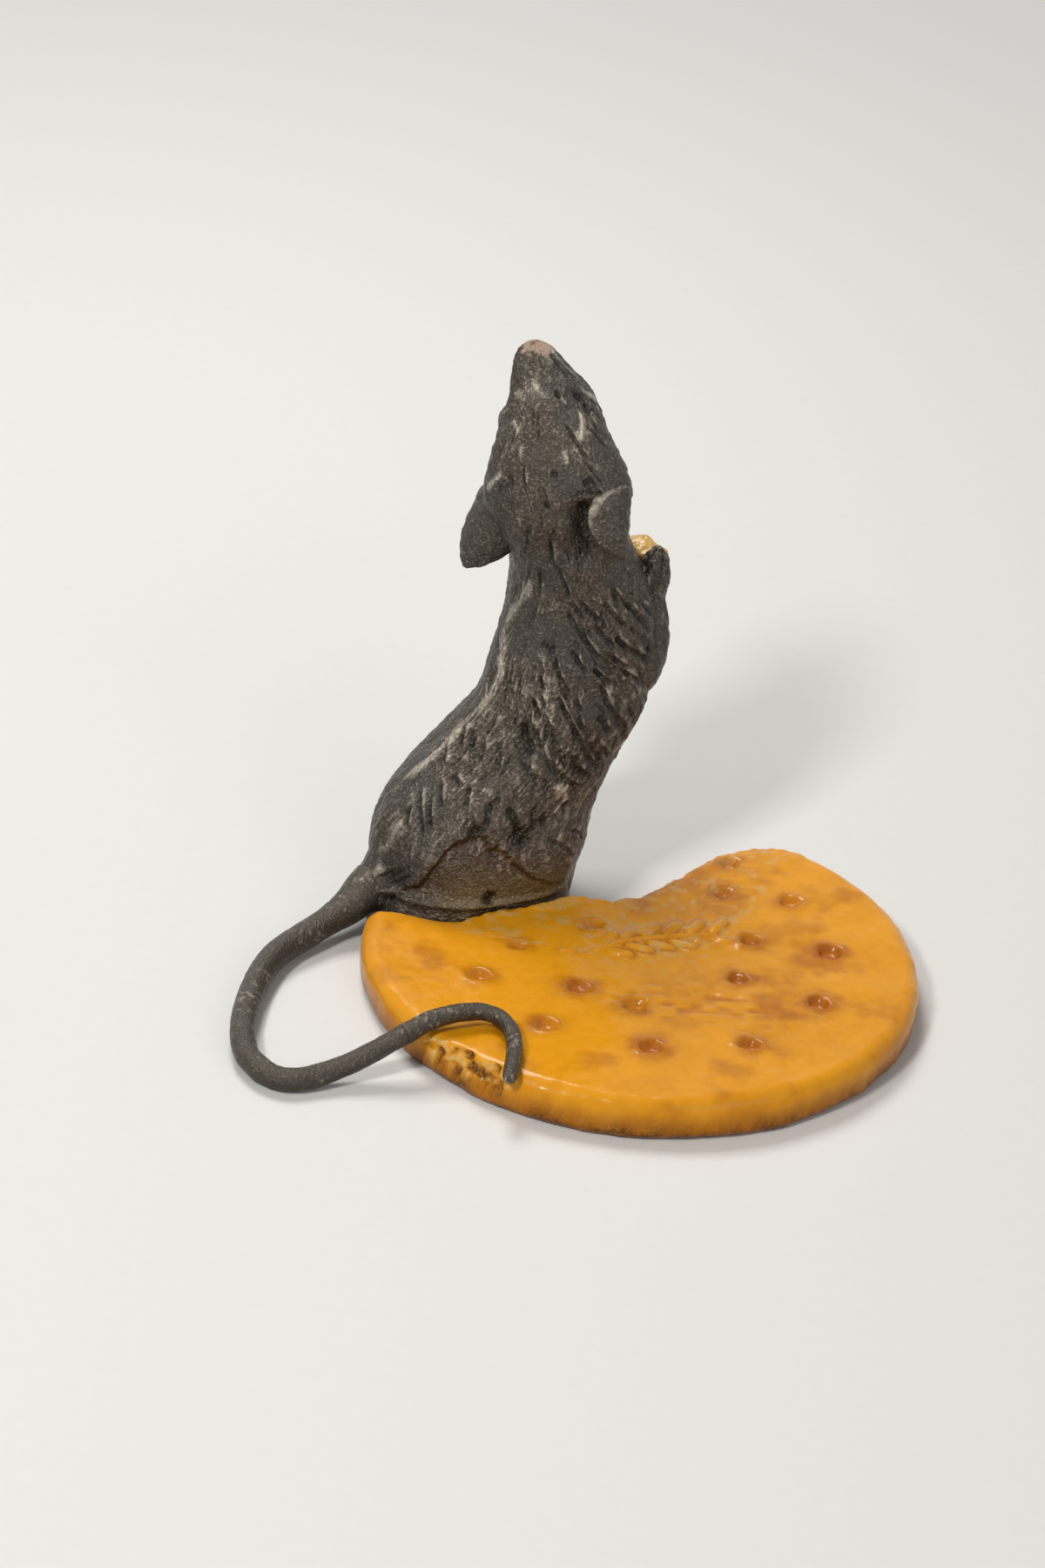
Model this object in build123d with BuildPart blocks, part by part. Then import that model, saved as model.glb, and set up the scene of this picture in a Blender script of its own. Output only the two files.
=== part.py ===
from build123d import *
import os
from math import cos, exp, hypot, pi, radians, sin

# A cold-painted cast mouse that sits in the bitten side of a round tea biscuit.
# Frame: millimetres, +Z up, origin at the middle of the biscuit's full circle, on the table.
# +Y runs away from the viewer of the photograph and +X to the viewer's right.

# Driving dimensions
figure_height = 61.0
biscuit_diameter = 60.0
biscuit_thickness = 4.6
mouse_heading = 40.0

# Biscuit
rim_top_round = 1.9
rim_bottom_round = 1.1
docker_width = 3.0
docker_depth = 0.55
nibble_width = 6.0
nibble_depth = 1.2

# Hollow castings and their fits
casting_wall = 1.8
floor_thickness = 2.0
fit_clearance = 0.2
shoulder_spigot_depth = 3.0
shoulder_spigot_wall = 1.1
peg_diameter = 1.6
peg_length = 2.6
vent_diameter = 1.1
vent_height_above_biscuit = 0.9

# Dowels that hold the mouse to the bitten side
dowel_diameter = 2.0
dowel_length = 8.0
dowel_height = 2.4
dowel_clearance = 0.05

# Limbs, ears, face and tail
foreleg_diameter = 4.2
finger_diameter = 1.1
finger_length = 3.6
finger_fan = (0.6, 0.1, -0.4)
foot_length = 8.0
foot_width = 3.6
foot_height = 1.6
toe_spread = 14.0
foot_peg_diameter = 0.9
foot_splay = 0.35
toe_count = 4
toe_width = 0.9
toe_length = 1.5
haunch_diameter = 12.0
haunch_length = 19.0
thigh_diameter = 10.6
thigh_length = 15.0
tail_stump_diameter = 6.0
left_ear_length = 12.2
left_ear_width = 7.6
right_ear_length = 9.8
right_ear_width = 7.4
ear_thickness = 1.1
ear_curl_radius = 5.6
ear_peg_diameter = 0.9
eye_diameter = 3.0
whisker_pad_diameter = 3.3
whisker_pad_length = 4.6
nose_diameter = 3.4
tail_root_diameter = 3.3
tail_tip_diameter = 1.5
tail_table_gap = 0.05

# Morsel of biscuit in the forepaws
morsel_length = 6.0
morsel_width = 4.4
morsel_thickness = 3.0
morsel_round = 0.5

biscuit_radius = biscuit_diameter / 2
seat_x_share = -0.64
seat_y_share = 0.48
seat_centre = Vector(seat_x_share * biscuit_radius, seat_y_share * biscuit_radius)

# The mouse's level sections, from the table to the nose, as shares of the figure's height:
# height, way forward, way to the mouse's right and half width. Then three plain numbers:
# depth over width, degrees turned from the heading, and the fullness of the belly side.
section_shares = (
    (0.000, -0.007, 0.000, 0.168, 1.12, 0, 0.04),
    (0.033, -0.005, 0.000, 0.170, 1.12, 0, 0.05),
    (0.098, 0.005, -0.005, 0.175, 1.13, 0, 0.06),
    (0.172, 0.018, -0.009, 0.174, 1.16, 0, 0.08),
    (0.246, 0.054, -0.005, 0.164, 1.19, 0, 0.10),
    (0.320, 0.111, 0.004, 0.149, 1.18, 0, 0.10),
    (0.393, 0.157, 0.014, 0.137, 1.15, 2, 0.10),
    (0.459, 0.172, 0.002, 0.123, 1.14, 4, 0.08),
    (0.516, 0.184, -0.009, 0.111, 1.12, 6, 0.05),
    (0.574, 0.192, -0.015, 0.102, 1.08, 12, 0.02),
    (0.631, 0.197, -0.022, 0.102, 1.06, 19, -0.04),
    (0.689, 0.193, -0.033, 0.101, 1.08, 26, -0.10),
    (0.754, 0.190, -0.051, 0.103, 1.10, 32, -0.14),
    (0.820, 0.185, -0.075, 0.100, 1.08, 32, -0.16),
    (0.869, 0.190, -0.095, 0.090, 1.02, 32, -0.14),
    (0.918, 0.192, -0.116, 0.070, 0.98, 32, -0.10),
    (0.959, 0.187, -0.139, 0.051, 0.95, 32, -0.04),
    (0.984, 0.185, -0.155, 0.033, 0.95, 32, 0.00),
)
shoulder_row = 8
last_hollow_row = 13
neck_row = 12
outline_points = 24

# Broad swells of the skin: degrees round from the heading towards the mouse's left, then
# height, reach round, reach up and rise as shares of the figure's height.
swell_shares = (
    (170, 0.330, 0.034, 0.240, 0.013),
    (284, 0.570, 0.062, 0.070, 0.024),
    (76, 0.570, 0.062, 0.070, 0.024),
    (254, 0.785, 0.052, 0.058, 0.036),
    (122, 0.735, 0.052, 0.052, 0.030),
    (222, 0.370, 0.060, 0.070, -0.010),
)
shoulder_height = section_shares[shoulder_row][0] * figure_height

# Cusps of the bitten edge, as shares of the biscuit's radius: place across, place away
# from the viewer, and how deep the bite between a cusp and the next one bows.
bite_cusp_shares = (
    (-1.05, 0.08, 0.075),
    (-0.47, 0.205, 0.017),
    (-0.25, 0.315, 0.055),
    (-0.02, 0.36, 0.010),
    (0.28, 0.705, -0.090),
    (0.72, 0.70, 0.0),
)
bite_outer_share = 1.25
dowel_shares = ((-0.78, 0.05), (-0.44, 0.215))
vent_x_share = -0.56

# Docker holes in the biscuit's face, as shares of its radius.
docker_hole_shares = (
    (0.32, 0.64),
    (0.29, 0.42),
    (0.54, 0.40),
    (0.39, 0.11),
    (0.68, 0.08),
    (0.35, -0.16),
    (0.63, -0.27),
    (0.38, -0.58),
    (-0.02, -0.39),
    (-0.22, -0.31),
    (-0.32, -0.56),
    (0.04, -0.65),
    (-0.18, 0.12),
    (-0.57, -0.28),
    (-0.44, -0.07),
)
nibble_angles = (-133.0, -127.0, -120.0)

# The tail's way from the rump to its loop, as shares of the run between them: along, aside
# and then lift as a share of the biscuit's thickness.
tail_lead_shares = ((0.175, -0.027, 0.22), (0.433, -0.056, 0.10), (0.721, -0.063, 0.05))

# The tail's loop round the biscuit, as shares: across and away of the biscuit's radius,
# and lift of its thickness, from lying on the table at 0 to lying on the biscuit at 1.
tail_route_shares = (
    (-1.33, -0.20, 0.02),
    (-1.355, -0.34, 0.0),
    (-1.368, -0.50, 0.0),
    (-1.36, -0.65, 0.0),
    (-1.33, -0.76, 0.0),
    (-1.27, -0.84, 0.0),
    (-1.20, -0.875, 0.0),
    (-1.12, -0.86, 0.02),
    (-1.04, -0.82, 0.10),
    (-0.96, -0.785, 0.28),
    (-0.885, -0.75, 0.52),
    (-0.80, -0.71, 0.80),
    (-0.725, -0.665, 1.00),
    (-0.645, -0.622, 1.08),
    (-0.562, -0.590, 1.08),
    (-0.493, -0.602, 1.05),
    (-0.442, -0.675, 1.03),
    (-0.423, -0.785, 1.02),
    (-0.428, -0.885, 1.00),
    (-0.434, -0.945, 0.80),
)
tail_joint_ring = 16
tail_end_share = 0.33

# Places on the mouse as shares of the figure's height: height, way forward, way to its right.
tail_start_shares = ((0.072, -0.214, -0.026), (0.054, -0.256, -0.018))
tail_stump_shares = (0.100, -0.150, -0.028)
haunch_shares = (0.041, -0.055, 0.060)
thigh_shares = (0.155, 0.057, 0.098)
foot_shares = (0.000, 0.131, 0.164)
foreleg_shares = (
    (0.412, 0.244, 0.102),
    (0.440, 0.266, 0.102),
    (0.482, 0.292, 0.091),
    (0.528, 0.309, 0.072),
    (0.563, 0.317, 0.058),
    (0.590, 0.323, 0.051),
    (0.614, 0.329, 0.049),
    (0.630, 0.333, 0.048),
)
foreleg_radius_shares = (0.55, 1.0, 1.0, 0.88, 0.66, 0.84, 0.70, 0.36)
foreleg_peg_row = 1
paw_row = 5
middle_side_share = -0.008
morsel_shares = (0.602, 0.356, -0.008)
morsel_corner_shares = ((-0.5, -0.30), (-0.20, -0.5), (0.5, -0.36), (0.42, 0.5), (-0.38, 0.42))
left_ear_shares = (0.680, 0.112, -0.142)
right_ear_shares = (0.772, 0.224, 0.102)
ear_peg_share = 0.22

# Swellings of the face: section, then the place ahead of its middle and to its right as
# shares of its half depth and half width.
eye_row = 14
whisker_row = 16
eye_shares = (-0.25, 0.80)
whisker_shares = (0.30, 0.50)


def mouse_point(height_share, forward_share, side_share):
    """A point given in the mouse's own directions, as shares of the figure's height."""
    forward = forward_share * figure_height
    side = side_share * figure_height
    heading = radians(mouse_heading)
    return Vector(
        seat_centre.X + forward * cos(heading) + side * sin(heading),
        seat_centre.Y + forward * sin(heading) - side * cos(heading),
        height_share * figure_height,
    )


def mouse_way(forward, side, up):
    """A direction given as parts forward, to the mouse's right and up."""
    heading = radians(mouse_heading)
    across = forward * cos(heading) + side * sin(heading)
    away = forward * sin(heading) - side * cos(heading)
    return Vector(across, away, up).normalized()


def swell_rise(row, angle):
    """How far the broad swells lift one place of a level section."""
    rise = 0
    for turn, height_share, round_share, up_share, rise_share in swell_shares:
        aside = (angle - radians(turn) + pi) % (2 * pi) - pi
        away = hypot(aside * row[3] / round_share, (row[0] - height_share) / up_share)
        rise += rise_share * figure_height * exp(-away * away)
    return rise


def level_section(row, inset):
    """One level outline of the mouse, drawn in by the inset all round."""
    height_share, forward_share, side_share, half_share, ratio, turn, fullness = row
    half_width = half_share * figure_height - inset
    half_depth = half_share * figure_height * ratio - inset
    facing = radians(mouse_heading + turn)
    level = Plane(
        origin=mouse_point(height_share, forward_share, side_share),
        x_dir=(cos(facing), sin(facing), 0),
        z_dir=(0, 0, 1),
    )
    points = []
    for step in range(outline_points):
        angle = 2 * pi * step / outline_points
        x = half_depth * cos(angle)
        y = half_width * (1 + fullness * cos(angle)) * sin(angle)
        scale = 1 + swell_rise(row, angle) / hypot(x, y)
        points.append((x * scale, y * scale))
    with BuildSketch(level) as outline:
        with BuildLine():
            Spline(*points, periodic=True)
        make_face()
    return outline.sketch


def mouse_skin(last_row, inset):
    """The mouse's outer form up to a section, or its hollow where the inset is a wall."""
    with BuildPart() as skin:
        loft(sections=[level_section(row, inset) for row in section_shares[: last_row + 1]])
    return skin.part


def spheroid(centre, way, half_length, radius, steady=Vector(0, 0, 1)):
    """An egg-shaped swelling about a line that isn't parallel to the steady direction."""
    across = steady.cross(way).normalized()
    with BuildPart() as swelling:
        with BuildSketch(Plane(origin=centre, x_dir=way, z_dir=across)):
            Ellipse(half_length, radius)
            Rectangle(2 * half_length, radius, align=(Align.CENTER, Align.MAX), mode=Mode.SUBTRACT)
        revolve(axis=Axis(centre, way))
    return swelling.part


def rod(start, way, radius, length):
    """A round rod that starts at a point and runs the given way."""
    with BuildPart(Plane(origin=start, z_dir=way)) as bar:
        Cylinder(radius, length, align=(Align.CENTER, Align.CENTER, Align.MIN))
    return bar.part


def peg(start, way, radius, length):
    """A peg of a fitted piece, and its looser hole in the casting that carries it."""
    pin = rod(start, way, radius, length)
    hole = rod(start, way, radius + fit_clearance / 2, length + fit_clearance)
    return pin, hole


def rings(points, radii, steady=Vector(0, 0, 1)):
    """Round sections square to a run of points."""
    last = len(points) - 1
    sections = []
    for index, point in enumerate(points):
        along = (points[min(index + 1, last)] - points[max(index - 1, 0)]).normalized()
        across = steady.cross(along).normalized()
        with BuildSketch(Plane(origin=point, x_dir=across, z_dir=along)) as ring:
            Circle(radii[index])
        sections.append(ring.sketch)
    return sections


def section_point(row_index, ahead_share, side_share):
    """A point of a level section, as shares of its half depth and half width."""
    height_share, forward_share, side, half_share, ratio, turn, fullness = section_shares[row_index]
    facing = radians(mouse_heading + turn)
    ahead = ahead_share * half_share * ratio * figure_height
    across = side_share * half_share * figure_height
    offset_x = ahead * cos(facing) + across * sin(facing)
    offset_y = ahead * sin(facing) - across * cos(facing)
    return mouse_point(height_share, forward_share, side) + Vector(offset_x, offset_y, 0)


def mirrored(shares):
    """The same place on the mouse's left."""
    return (*shares[:2], 2 * middle_side_share - shares[2])


def ear(centre, long_way, face_way, length, width):
    """A thin curled leaf, rolled about its long axis."""
    with BuildPart(Plane(origin=centre - face_way * ear_curl_radius, z_dir=long_way)) as roll:
        Cylinder(ear_curl_radius, 2 * length)
        Cylinder(ear_curl_radius - ear_thickness, 2 * length, mode=Mode.SUBTRACT)
    with BuildPart() as leaf:
        with BuildSketch(Plane(origin=centre, x_dir=long_way, z_dir=face_way)):
            Ellipse(length / 2, width / 2)
        extrude(amount=ear_curl_radius, both=True)
        add(roll.part, mode=Mode.INTERSECT)
    return leaf.part


def morsel_block(growth):
    """The broken corner of biscuit, grown all round by a clearance when it is cut from a paw."""
    middle = mouse_point(*morsel_shares)
    plane = Plane(origin=middle, x_dir=mouse_way(0, 1, 0), z_dir=mouse_way(1, 0, 0.25))
    corners = [(x * morsel_length, y * morsel_width) for x, y in morsel_corner_shares]
    with BuildPart() as block:
        with BuildSketch(plane):
            with BuildLine():
                Polyline(*corners, close=True)
            make_face()
            offset(amount=growth, kind=Kind.INTERSECTION)
        extrude(amount=morsel_thickness / 2 + growth, both=True)
    return block.part


# Bitten biscuit seen from above
with BuildSketch() as bitten_outline:
    Circle(biscuit_radius)
    with BuildLine():
        cusps = [Vector(x * biscuit_radius, y * biscuit_radius) for x, y, bow in bite_cusp_shares]
        for (x, y, bow), start, end in zip(bite_cusp_shares, cusps, cusps[1:]):
            SagittaArc(start, end, -bow * biscuit_radius)
        outer = bite_outer_share * biscuit_radius
        Polyline(cusps[-1], (cusps[-1].X, outer), (-outer, outer), (-outer, cusps[0].Y), cusps[0])
    make_face(mode=Mode.SUBTRACT)


def beside_biscuit(clearance):
    """The biscuit's own space with a clearance round it, which the mouse stays out of."""
    with BuildPart() as space:
        with BuildSketch():
            add(bitten_outline.sketch)
            offset(amount=clearance)
        extrude(amount=biscuit_thickness + clearance)
    return space.part


# Forms that several pieces share
whole_skin = mouse_skin(len(section_shares) - 1, 0)
grown_skin = mouse_skin(eye_row, -fit_clearance)
casting_hollow = mouse_skin(last_hollow_row, casting_wall)
spigot_core = mouse_skin(last_hollow_row, casting_wall + fit_clearance)
neck_hollow = mouse_skin(last_hollow_row, casting_wall + fit_clearance + shoulder_spigot_wall)
shoulder_plane = Plane.XY.offset(shoulder_height)
rightward = mouse_way(0, 1, 0)
upward = Vector(0, 0, 1)

# Tail route
tail_points = [mouse_point(*shares) for shares in tail_start_shares]
rump = tail_points[-1]
loop_points = []
for x, y, lift in tail_route_shares:
    loop_points.append(Vector(x * biscuit_radius, y * biscuit_radius, lift * biscuit_thickness))
lead = Vector(loop_points[0].X - rump.X, loop_points[0].Y - rump.Y)
aside = Vector(-lead.Y, lead.X)
for along_share, aside_share, lift in tail_lead_shares:
    ahead = lead * along_share + aside * aside_share
    tail_points.append(Vector(rump.X + ahead.X, rump.Y + ahead.Y, lift * biscuit_thickness))
tail_points += loop_points
tail_radii = []
for index in range(len(tail_points)):
    share = index / (len(tail_points) - 1)
    tail_radii.append((tail_root_diameter * (1 - share) + tail_tip_diameter * share) / 2)
for index in range(len(tail_start_shares), len(tail_points)):
    tail_points[index] += upward * (tail_radii[index] + tail_table_gap)
tail_way = (tail_points[1] - tail_points[0]).normalized()
tail_end_way = (tail_points[-1] - tail_points[-2]).normalized()
tail_points.append(tail_points[-1] + tail_end_way * tail_tip_diameter * tail_end_share)
tail_radii.append(tail_radii[-1] / 2)
tail_rings = rings(tail_points, tail_radii)

# Biscuit
nibble_radius = (nibble_width**2 / 4 + nibble_depth**2) / (2 * nibble_depth)
docker_radius = (docker_width**2 / 4 + docker_depth**2) / (2 * docker_depth)
dowel_points = [Vector(x * biscuit_radius, y * biscuit_radius, dowel_height) for x, y in dowel_shares]
dowel_holes = []
for point in dowel_points:
    hole_start = point - Vector(0, dowel_length / 2 + fit_clearance)
    hole_radius = dowel_diameter / 2 + dowel_clearance
    dowel_holes.append(rod(hole_start, Vector(0, 1, 0), hole_radius, dowel_length + 2 * fit_clearance))
with BuildPart() as biscuit:
    add(bitten_outline.sketch)
    extrude(amount=biscuit_thickness)
    for rank, rounding in ((-1, rim_top_round), (0, rim_bottom_round)):
        rims = biscuit.edges().filter_by(GeomType.CIRCLE)
        rims = rims.filter_by(lambda edge: abs(edge.radius - biscuit_radius) < fit_clearance)
        fillet(rims.group_by(Axis.Z)[rank], rounding)
    for x, y in docker_hole_shares:
        place = (x * biscuit_radius, y * biscuit_radius, biscuit_thickness - docker_depth + docker_radius)
        with Locations(place):
            Sphere(docker_radius, mode=Mode.SUBTRACT)
    for angle in nibble_angles:
        out = biscuit_radius + nibble_radius - nibble_depth
        place = (out * cos(radians(angle)), out * sin(radians(angle)), biscuit_thickness)
        with Locations(place):
            Sphere(nibble_radius, mode=Mode.SUBTRACT)
    for hole in dowel_holes:
        add(hole, mode=Mode.SUBTRACT)
biscuit.part.label = "biscuit"

# Dowels between the biscuit and the mouse
dowels = []
for point, name in zip(dowel_points, ("near_dowel", "far_dowel")):
    with BuildPart() as dowel:
        add(rod(point - Vector(0, dowel_length / 2), Vector(0, 1, 0), dowel_diameter / 2, dowel_length))
    dowel.part.label = name
    dowels.append(dowel)

# Mouse's body: a hollow casting from the table to the shoulders
limb_places = {
    "right": (foot_shares, foreleg_shares, 1),
    "left": (mirrored(foot_shares), [mirrored(place) for place in foreleg_shares], -1),
}
tail_peg, tail_hole = peg(tail_points[0], -tail_way, peg_diameter / 2, peg_length)
hind_feet = []
forelegs = []
body_holes = [tail_hole]
morsel_space = morsel_block(fit_clearance)
biscuit_space = beside_biscuit(fit_clearance)
for hand, (foot_place, leg_shares, sign) in limb_places.items():
    foot_way = mouse_way(1, foot_splay * sign, 0)
    foot_middle = mouse_point(*foot_place)
    foot_pin, foot_hole = peg(
        foot_middle + upward * foot_height / 2,
        -foot_way,
        foot_peg_diameter / 2,
        foot_length / 2 + peg_length,
    )
    with BuildPart() as foot:
        sole_middle = foot_middle + upward * (foot_height - foot_width / 2)
        add(spheroid(sole_middle, foot_way, foot_length / 2, foot_width / 2))
        for step in range(toe_count):
            toe_way = foot_way.rotate(Axis.Z, (step - (toe_count - 1) / 2) * toe_spread)
            toe_root = foot_middle + upward * toe_width / 3 + toe_way * foot_length / 4
            add(rod(toe_root, toe_way, toe_width / 2, foot_length / 4 + toe_length))
        split(bisect_by=Plane.XY, keep=Keep.TOP)
        add(grown_skin, mode=Mode.SUBTRACT)
        add(biscuit_space, mode=Mode.SUBTRACT)
        add(foot_pin)
    foot.part.label = hand + "_hind_foot"
    hind_feet.append(foot)
    body_holes.append(foot_hole)

    points = [mouse_point(*shares) for shares in leg_shares]
    radii = [share * foreleg_diameter / 2 for share in foreleg_radius_shares]
    leg_way = mouse_way(-1, -0.5 * sign, 0)
    leg_pin, leg_hole = peg(
        points[foreleg_peg_row] - leg_way * foreleg_diameter / 4,
        leg_way,
        peg_diameter / 2,
        2 * peg_length,
    )
    with BuildPart() as foreleg:
        loft(sections=rings(points, radii, steady=rightward))
        add(grown_skin, mode=Mode.SUBTRACT)
        for fan in finger_fan:
            finger_way = mouse_way(0.3, sign * fan, 1)
            add(rod(points[paw_row], finger_way, finger_diameter / 2, finger_length))
        add(morsel_space, mode=Mode.SUBTRACT)
        add(leg_pin)
    foreleg.part.label = hand + "_foreleg"
    forelegs.append(foreleg)
    body_holes.append(leg_hole)

with BuildPart() as body_hollow:
    add(casting_hollow)
    add(beside_biscuit(casting_wall), mode=Mode.SUBTRACT)
    split(bisect_by=Plane.XY.offset(floor_thickness), keep=Keep.TOP)

stump_points = [mouse_point(*tail_stump_shares), tail_points[0]]
stump_ring = rings(stump_points, [tail_stump_diameter / 2, tail_radii[0]])[0]
with BuildPart() as body:
    add(whole_skin)
    haunch_middle = mouse_point(*haunch_shares)
    add(spheroid(haunch_middle, mouse_way(0.95, 0.32, 0), haunch_length / 2, haunch_diameter / 2))
    for shares in (thigh_shares, mirrored(thigh_shares)):
        add(spheroid(mouse_point(*shares), mouse_way(0.6, 0, 0.8), thigh_length / 2, thigh_diameter / 2))
    loft(sections=[stump_ring, tail_rings[0]])
    split(bisect_by=Plane.XY, keep=Keep.TOP)
    split(bisect_by=shoulder_plane, keep=Keep.BOTTOM)
    add(body_hollow.part, mode=Mode.SUBTRACT)
    add(biscuit_space, mode=Mode.SUBTRACT)
    for hole in body_holes + dowel_holes:
        add(hole, mode=Mode.SUBTRACT)
    vent_start = Vector(vent_x_share * biscuit_radius, 0, biscuit_thickness + vent_height_above_biscuit)
    add(rod(vent_start, Vector(0, 1, 0), vent_diameter / 2, seat_centre.Y), mode=Mode.SUBTRACT)
body.part.label = "body"

# Head and neck: one casting whose spigot fits inside the shoulders
with BuildPart() as spigot:
    add(spigot_core)
    split(bisect_by=Plane.XY.offset(shoulder_height - shoulder_spigot_depth), keep=Keep.TOP)
    split(bisect_by=Plane.XY.offset(shoulder_height + shoulder_spigot_wall), keep=Keep.BOTTOM)

left_ear_ways = (mouse_way(-0.30, -0.08, -0.95), mouse_way(-0.94, 0.26, 0.25))
right_ear_ways = (mouse_way(-0.07, 0.27, -0.96), mouse_way(0.46, 0.85, 0.20))
ear_sides = (
    ("left_ear", left_ear_shares, *left_ear_ways, left_ear_length, left_ear_width),
    ("right_ear", right_ear_shares, *right_ear_ways, right_ear_length, right_ear_width),
)
ear_parts = []
head_holes = []
for name, shares, long_way, face_way, length, width in ear_sides:
    centre = mouse_point(*shares)
    start = centre - long_way * length * ear_peg_share - face_way * ear_thickness / 2
    neck_middle = mouse_point(start.Z / figure_height, *section_shares[neck_row][1:3])
    reach = (neck_middle - start).length - casting_wall
    ear_pin, ear_hole = peg(start, (neck_middle - start).normalized(), ear_peg_diameter / 2, reach)
    with BuildPart() as fitted_ear:
        add(ear(centre, long_way, face_way, length, width))
        add(grown_skin, mode=Mode.SUBTRACT)
        add(ear_pin)
    fitted_ear.part.label = name
    ear_parts.append(fitted_ear)
    head_holes.append(ear_hole)

with BuildPart() as head:
    add(whole_skin)
    for sign in (-1, 1):
        eye_place = section_point(eye_row, eye_shares[0], sign * eye_shares[1])
        add(spheroid(eye_place, rightward, eye_diameter / 2, eye_diameter / 2))
        pad_place = section_point(whisker_row, whisker_shares[0], sign * whisker_shares[1])
        add(spheroid(pad_place, upward, whisker_pad_length / 2, whisker_pad_diameter / 2, steady=rightward))
    nose_centre = section_point(len(section_shares) - 1, 0, 0)
    nose_centre.Z = figure_height - nose_diameter / 2
    add(spheroid(nose_centre, rightward, nose_diameter / 2, nose_diameter / 2))
    split(bisect_by=shoulder_plane, keep=Keep.TOP)
    add(spigot.part)
    add(neck_hollow, mode=Mode.SUBTRACT)
    for hole in head_holes:
        add(hole, mode=Mode.SUBTRACT)
head.part.label = "head"

# Tail, cast in two lengths that meet end to end
with BuildPart() as tail_rear:
    loft(sections=tail_rings[: tail_joint_ring + 1])
    add(tail_peg)
tail_rear.part.label = "tail_rear"
with BuildPart() as tail_tip:
    loft(sections=tail_rings[tail_joint_ring:])
tail_tip.part.label = "tail_tip"

with BuildPart() as morsel:
    add(morsel_block(0))
    fillet(morsel.edges(), morsel_round)
    add(grown_skin, mode=Mode.SUBTRACT)
morsel.part.label = "biscuit_morsel"

pieces = [biscuit, *dowels, body, head, *ear_parts, *forelegs, *hind_feet, tail_rear, tail_tip, morsel]
os.makedirs("parts", exist_ok=True)
for piece in pieces:
    export_step(piece.part, "parts/" + piece.part.label + ".step")
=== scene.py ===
"""A cold-painted cast mouse that sits in the bitten side of a round tea biscuit.

Lengths are worked out in millimetres in the frame of the CAD model and put into the
meshes in metres: +Z up, the viewer of the photograph towards -Y, and the origin in the
middle of the biscuit's full circle, on the table.
"""

import logging
from dataclasses import dataclass, field
from enum import Enum
from math import cos, pi, radians, sin

import bpy
import numpy as np
from mathutils import Matrix

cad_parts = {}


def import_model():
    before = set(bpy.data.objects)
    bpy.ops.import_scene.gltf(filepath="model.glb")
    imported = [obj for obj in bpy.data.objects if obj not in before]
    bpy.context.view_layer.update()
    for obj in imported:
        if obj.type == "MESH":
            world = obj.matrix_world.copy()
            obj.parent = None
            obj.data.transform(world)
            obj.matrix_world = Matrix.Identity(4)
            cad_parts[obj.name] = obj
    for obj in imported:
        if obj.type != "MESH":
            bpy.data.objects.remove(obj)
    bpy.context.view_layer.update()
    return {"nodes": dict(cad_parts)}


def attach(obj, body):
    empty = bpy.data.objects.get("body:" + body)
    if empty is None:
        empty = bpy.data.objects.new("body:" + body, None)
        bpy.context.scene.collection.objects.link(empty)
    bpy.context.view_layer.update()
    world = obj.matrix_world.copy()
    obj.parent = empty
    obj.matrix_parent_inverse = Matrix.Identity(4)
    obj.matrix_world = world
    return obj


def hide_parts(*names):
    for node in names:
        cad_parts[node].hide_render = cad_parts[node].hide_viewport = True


Array = np.ndarray
Point = tuple[float, float, float]
Pixel = tuple[float, float]
Traces = tuple[tuple[Pixel, ...], ...]
METRE = 0.001
FULL_TURN = 2 * pi
log = logging.getLogger("mouse_on_biscuit")


# Curves, noise and strokes as whole arrays


def unit(vectors: Array) -> Array:
    """Vectors scaled to a length of 1 along their last axis.

    Args:
        vectors: any array whose last axis holds components.

    Returns:
        An array of the same shape.
    """
    return vectors / np.maximum(np.linalg.norm(vectors, axis=-1, keepdims=True), 1e-9)


def spline(rows: Array, at: Array) -> Array:
    """A smooth cubic curve through the rows of a table, at fractional row numbers.

    The slopes at the rows solve the natural spline's equations, so that the curve has no
    break in its bend: slope before + 4 slope + slope after = 3 (next row - last row).

    Args:
        rows: the table, one row for each point.
        at: fractional row numbers.

    Returns:
        The curve's points, one row for each number in at.
    """
    rows = np.asarray(rows, float)
    count = len(rows)
    system = np.diag(np.full(count, 4.0)) + np.diag(np.ones(count - 1), 1) + np.diag(np.ones(count - 1), -1)
    system[0, 0] = system[-1, -1] = 2.0
    rise = np.zeros_like(rows)
    rise[1:-1] = 3 * (rows[2:] - rows[:-2])
    rise[0] = 3 * (rows[1] - rows[0])
    rise[-1] = 3 * (rows[-1] - rows[-2])
    slopes = np.linalg.solve(system, rise)
    first = np.clip(np.floor(at).astype(int), 0, count - 2)
    part = (np.asarray(at) - first)[:, None]
    start, end = rows[first], rows[first + 1]
    square, cube = part**2, part**3
    return (
        start * (2 * cube - 3 * square + 1)
        + slopes[first] * (cube - 2 * square + part)
        + end * (3 * square - 2 * cube)
        + slopes[first + 1] * (cube - square)
    )


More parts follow.
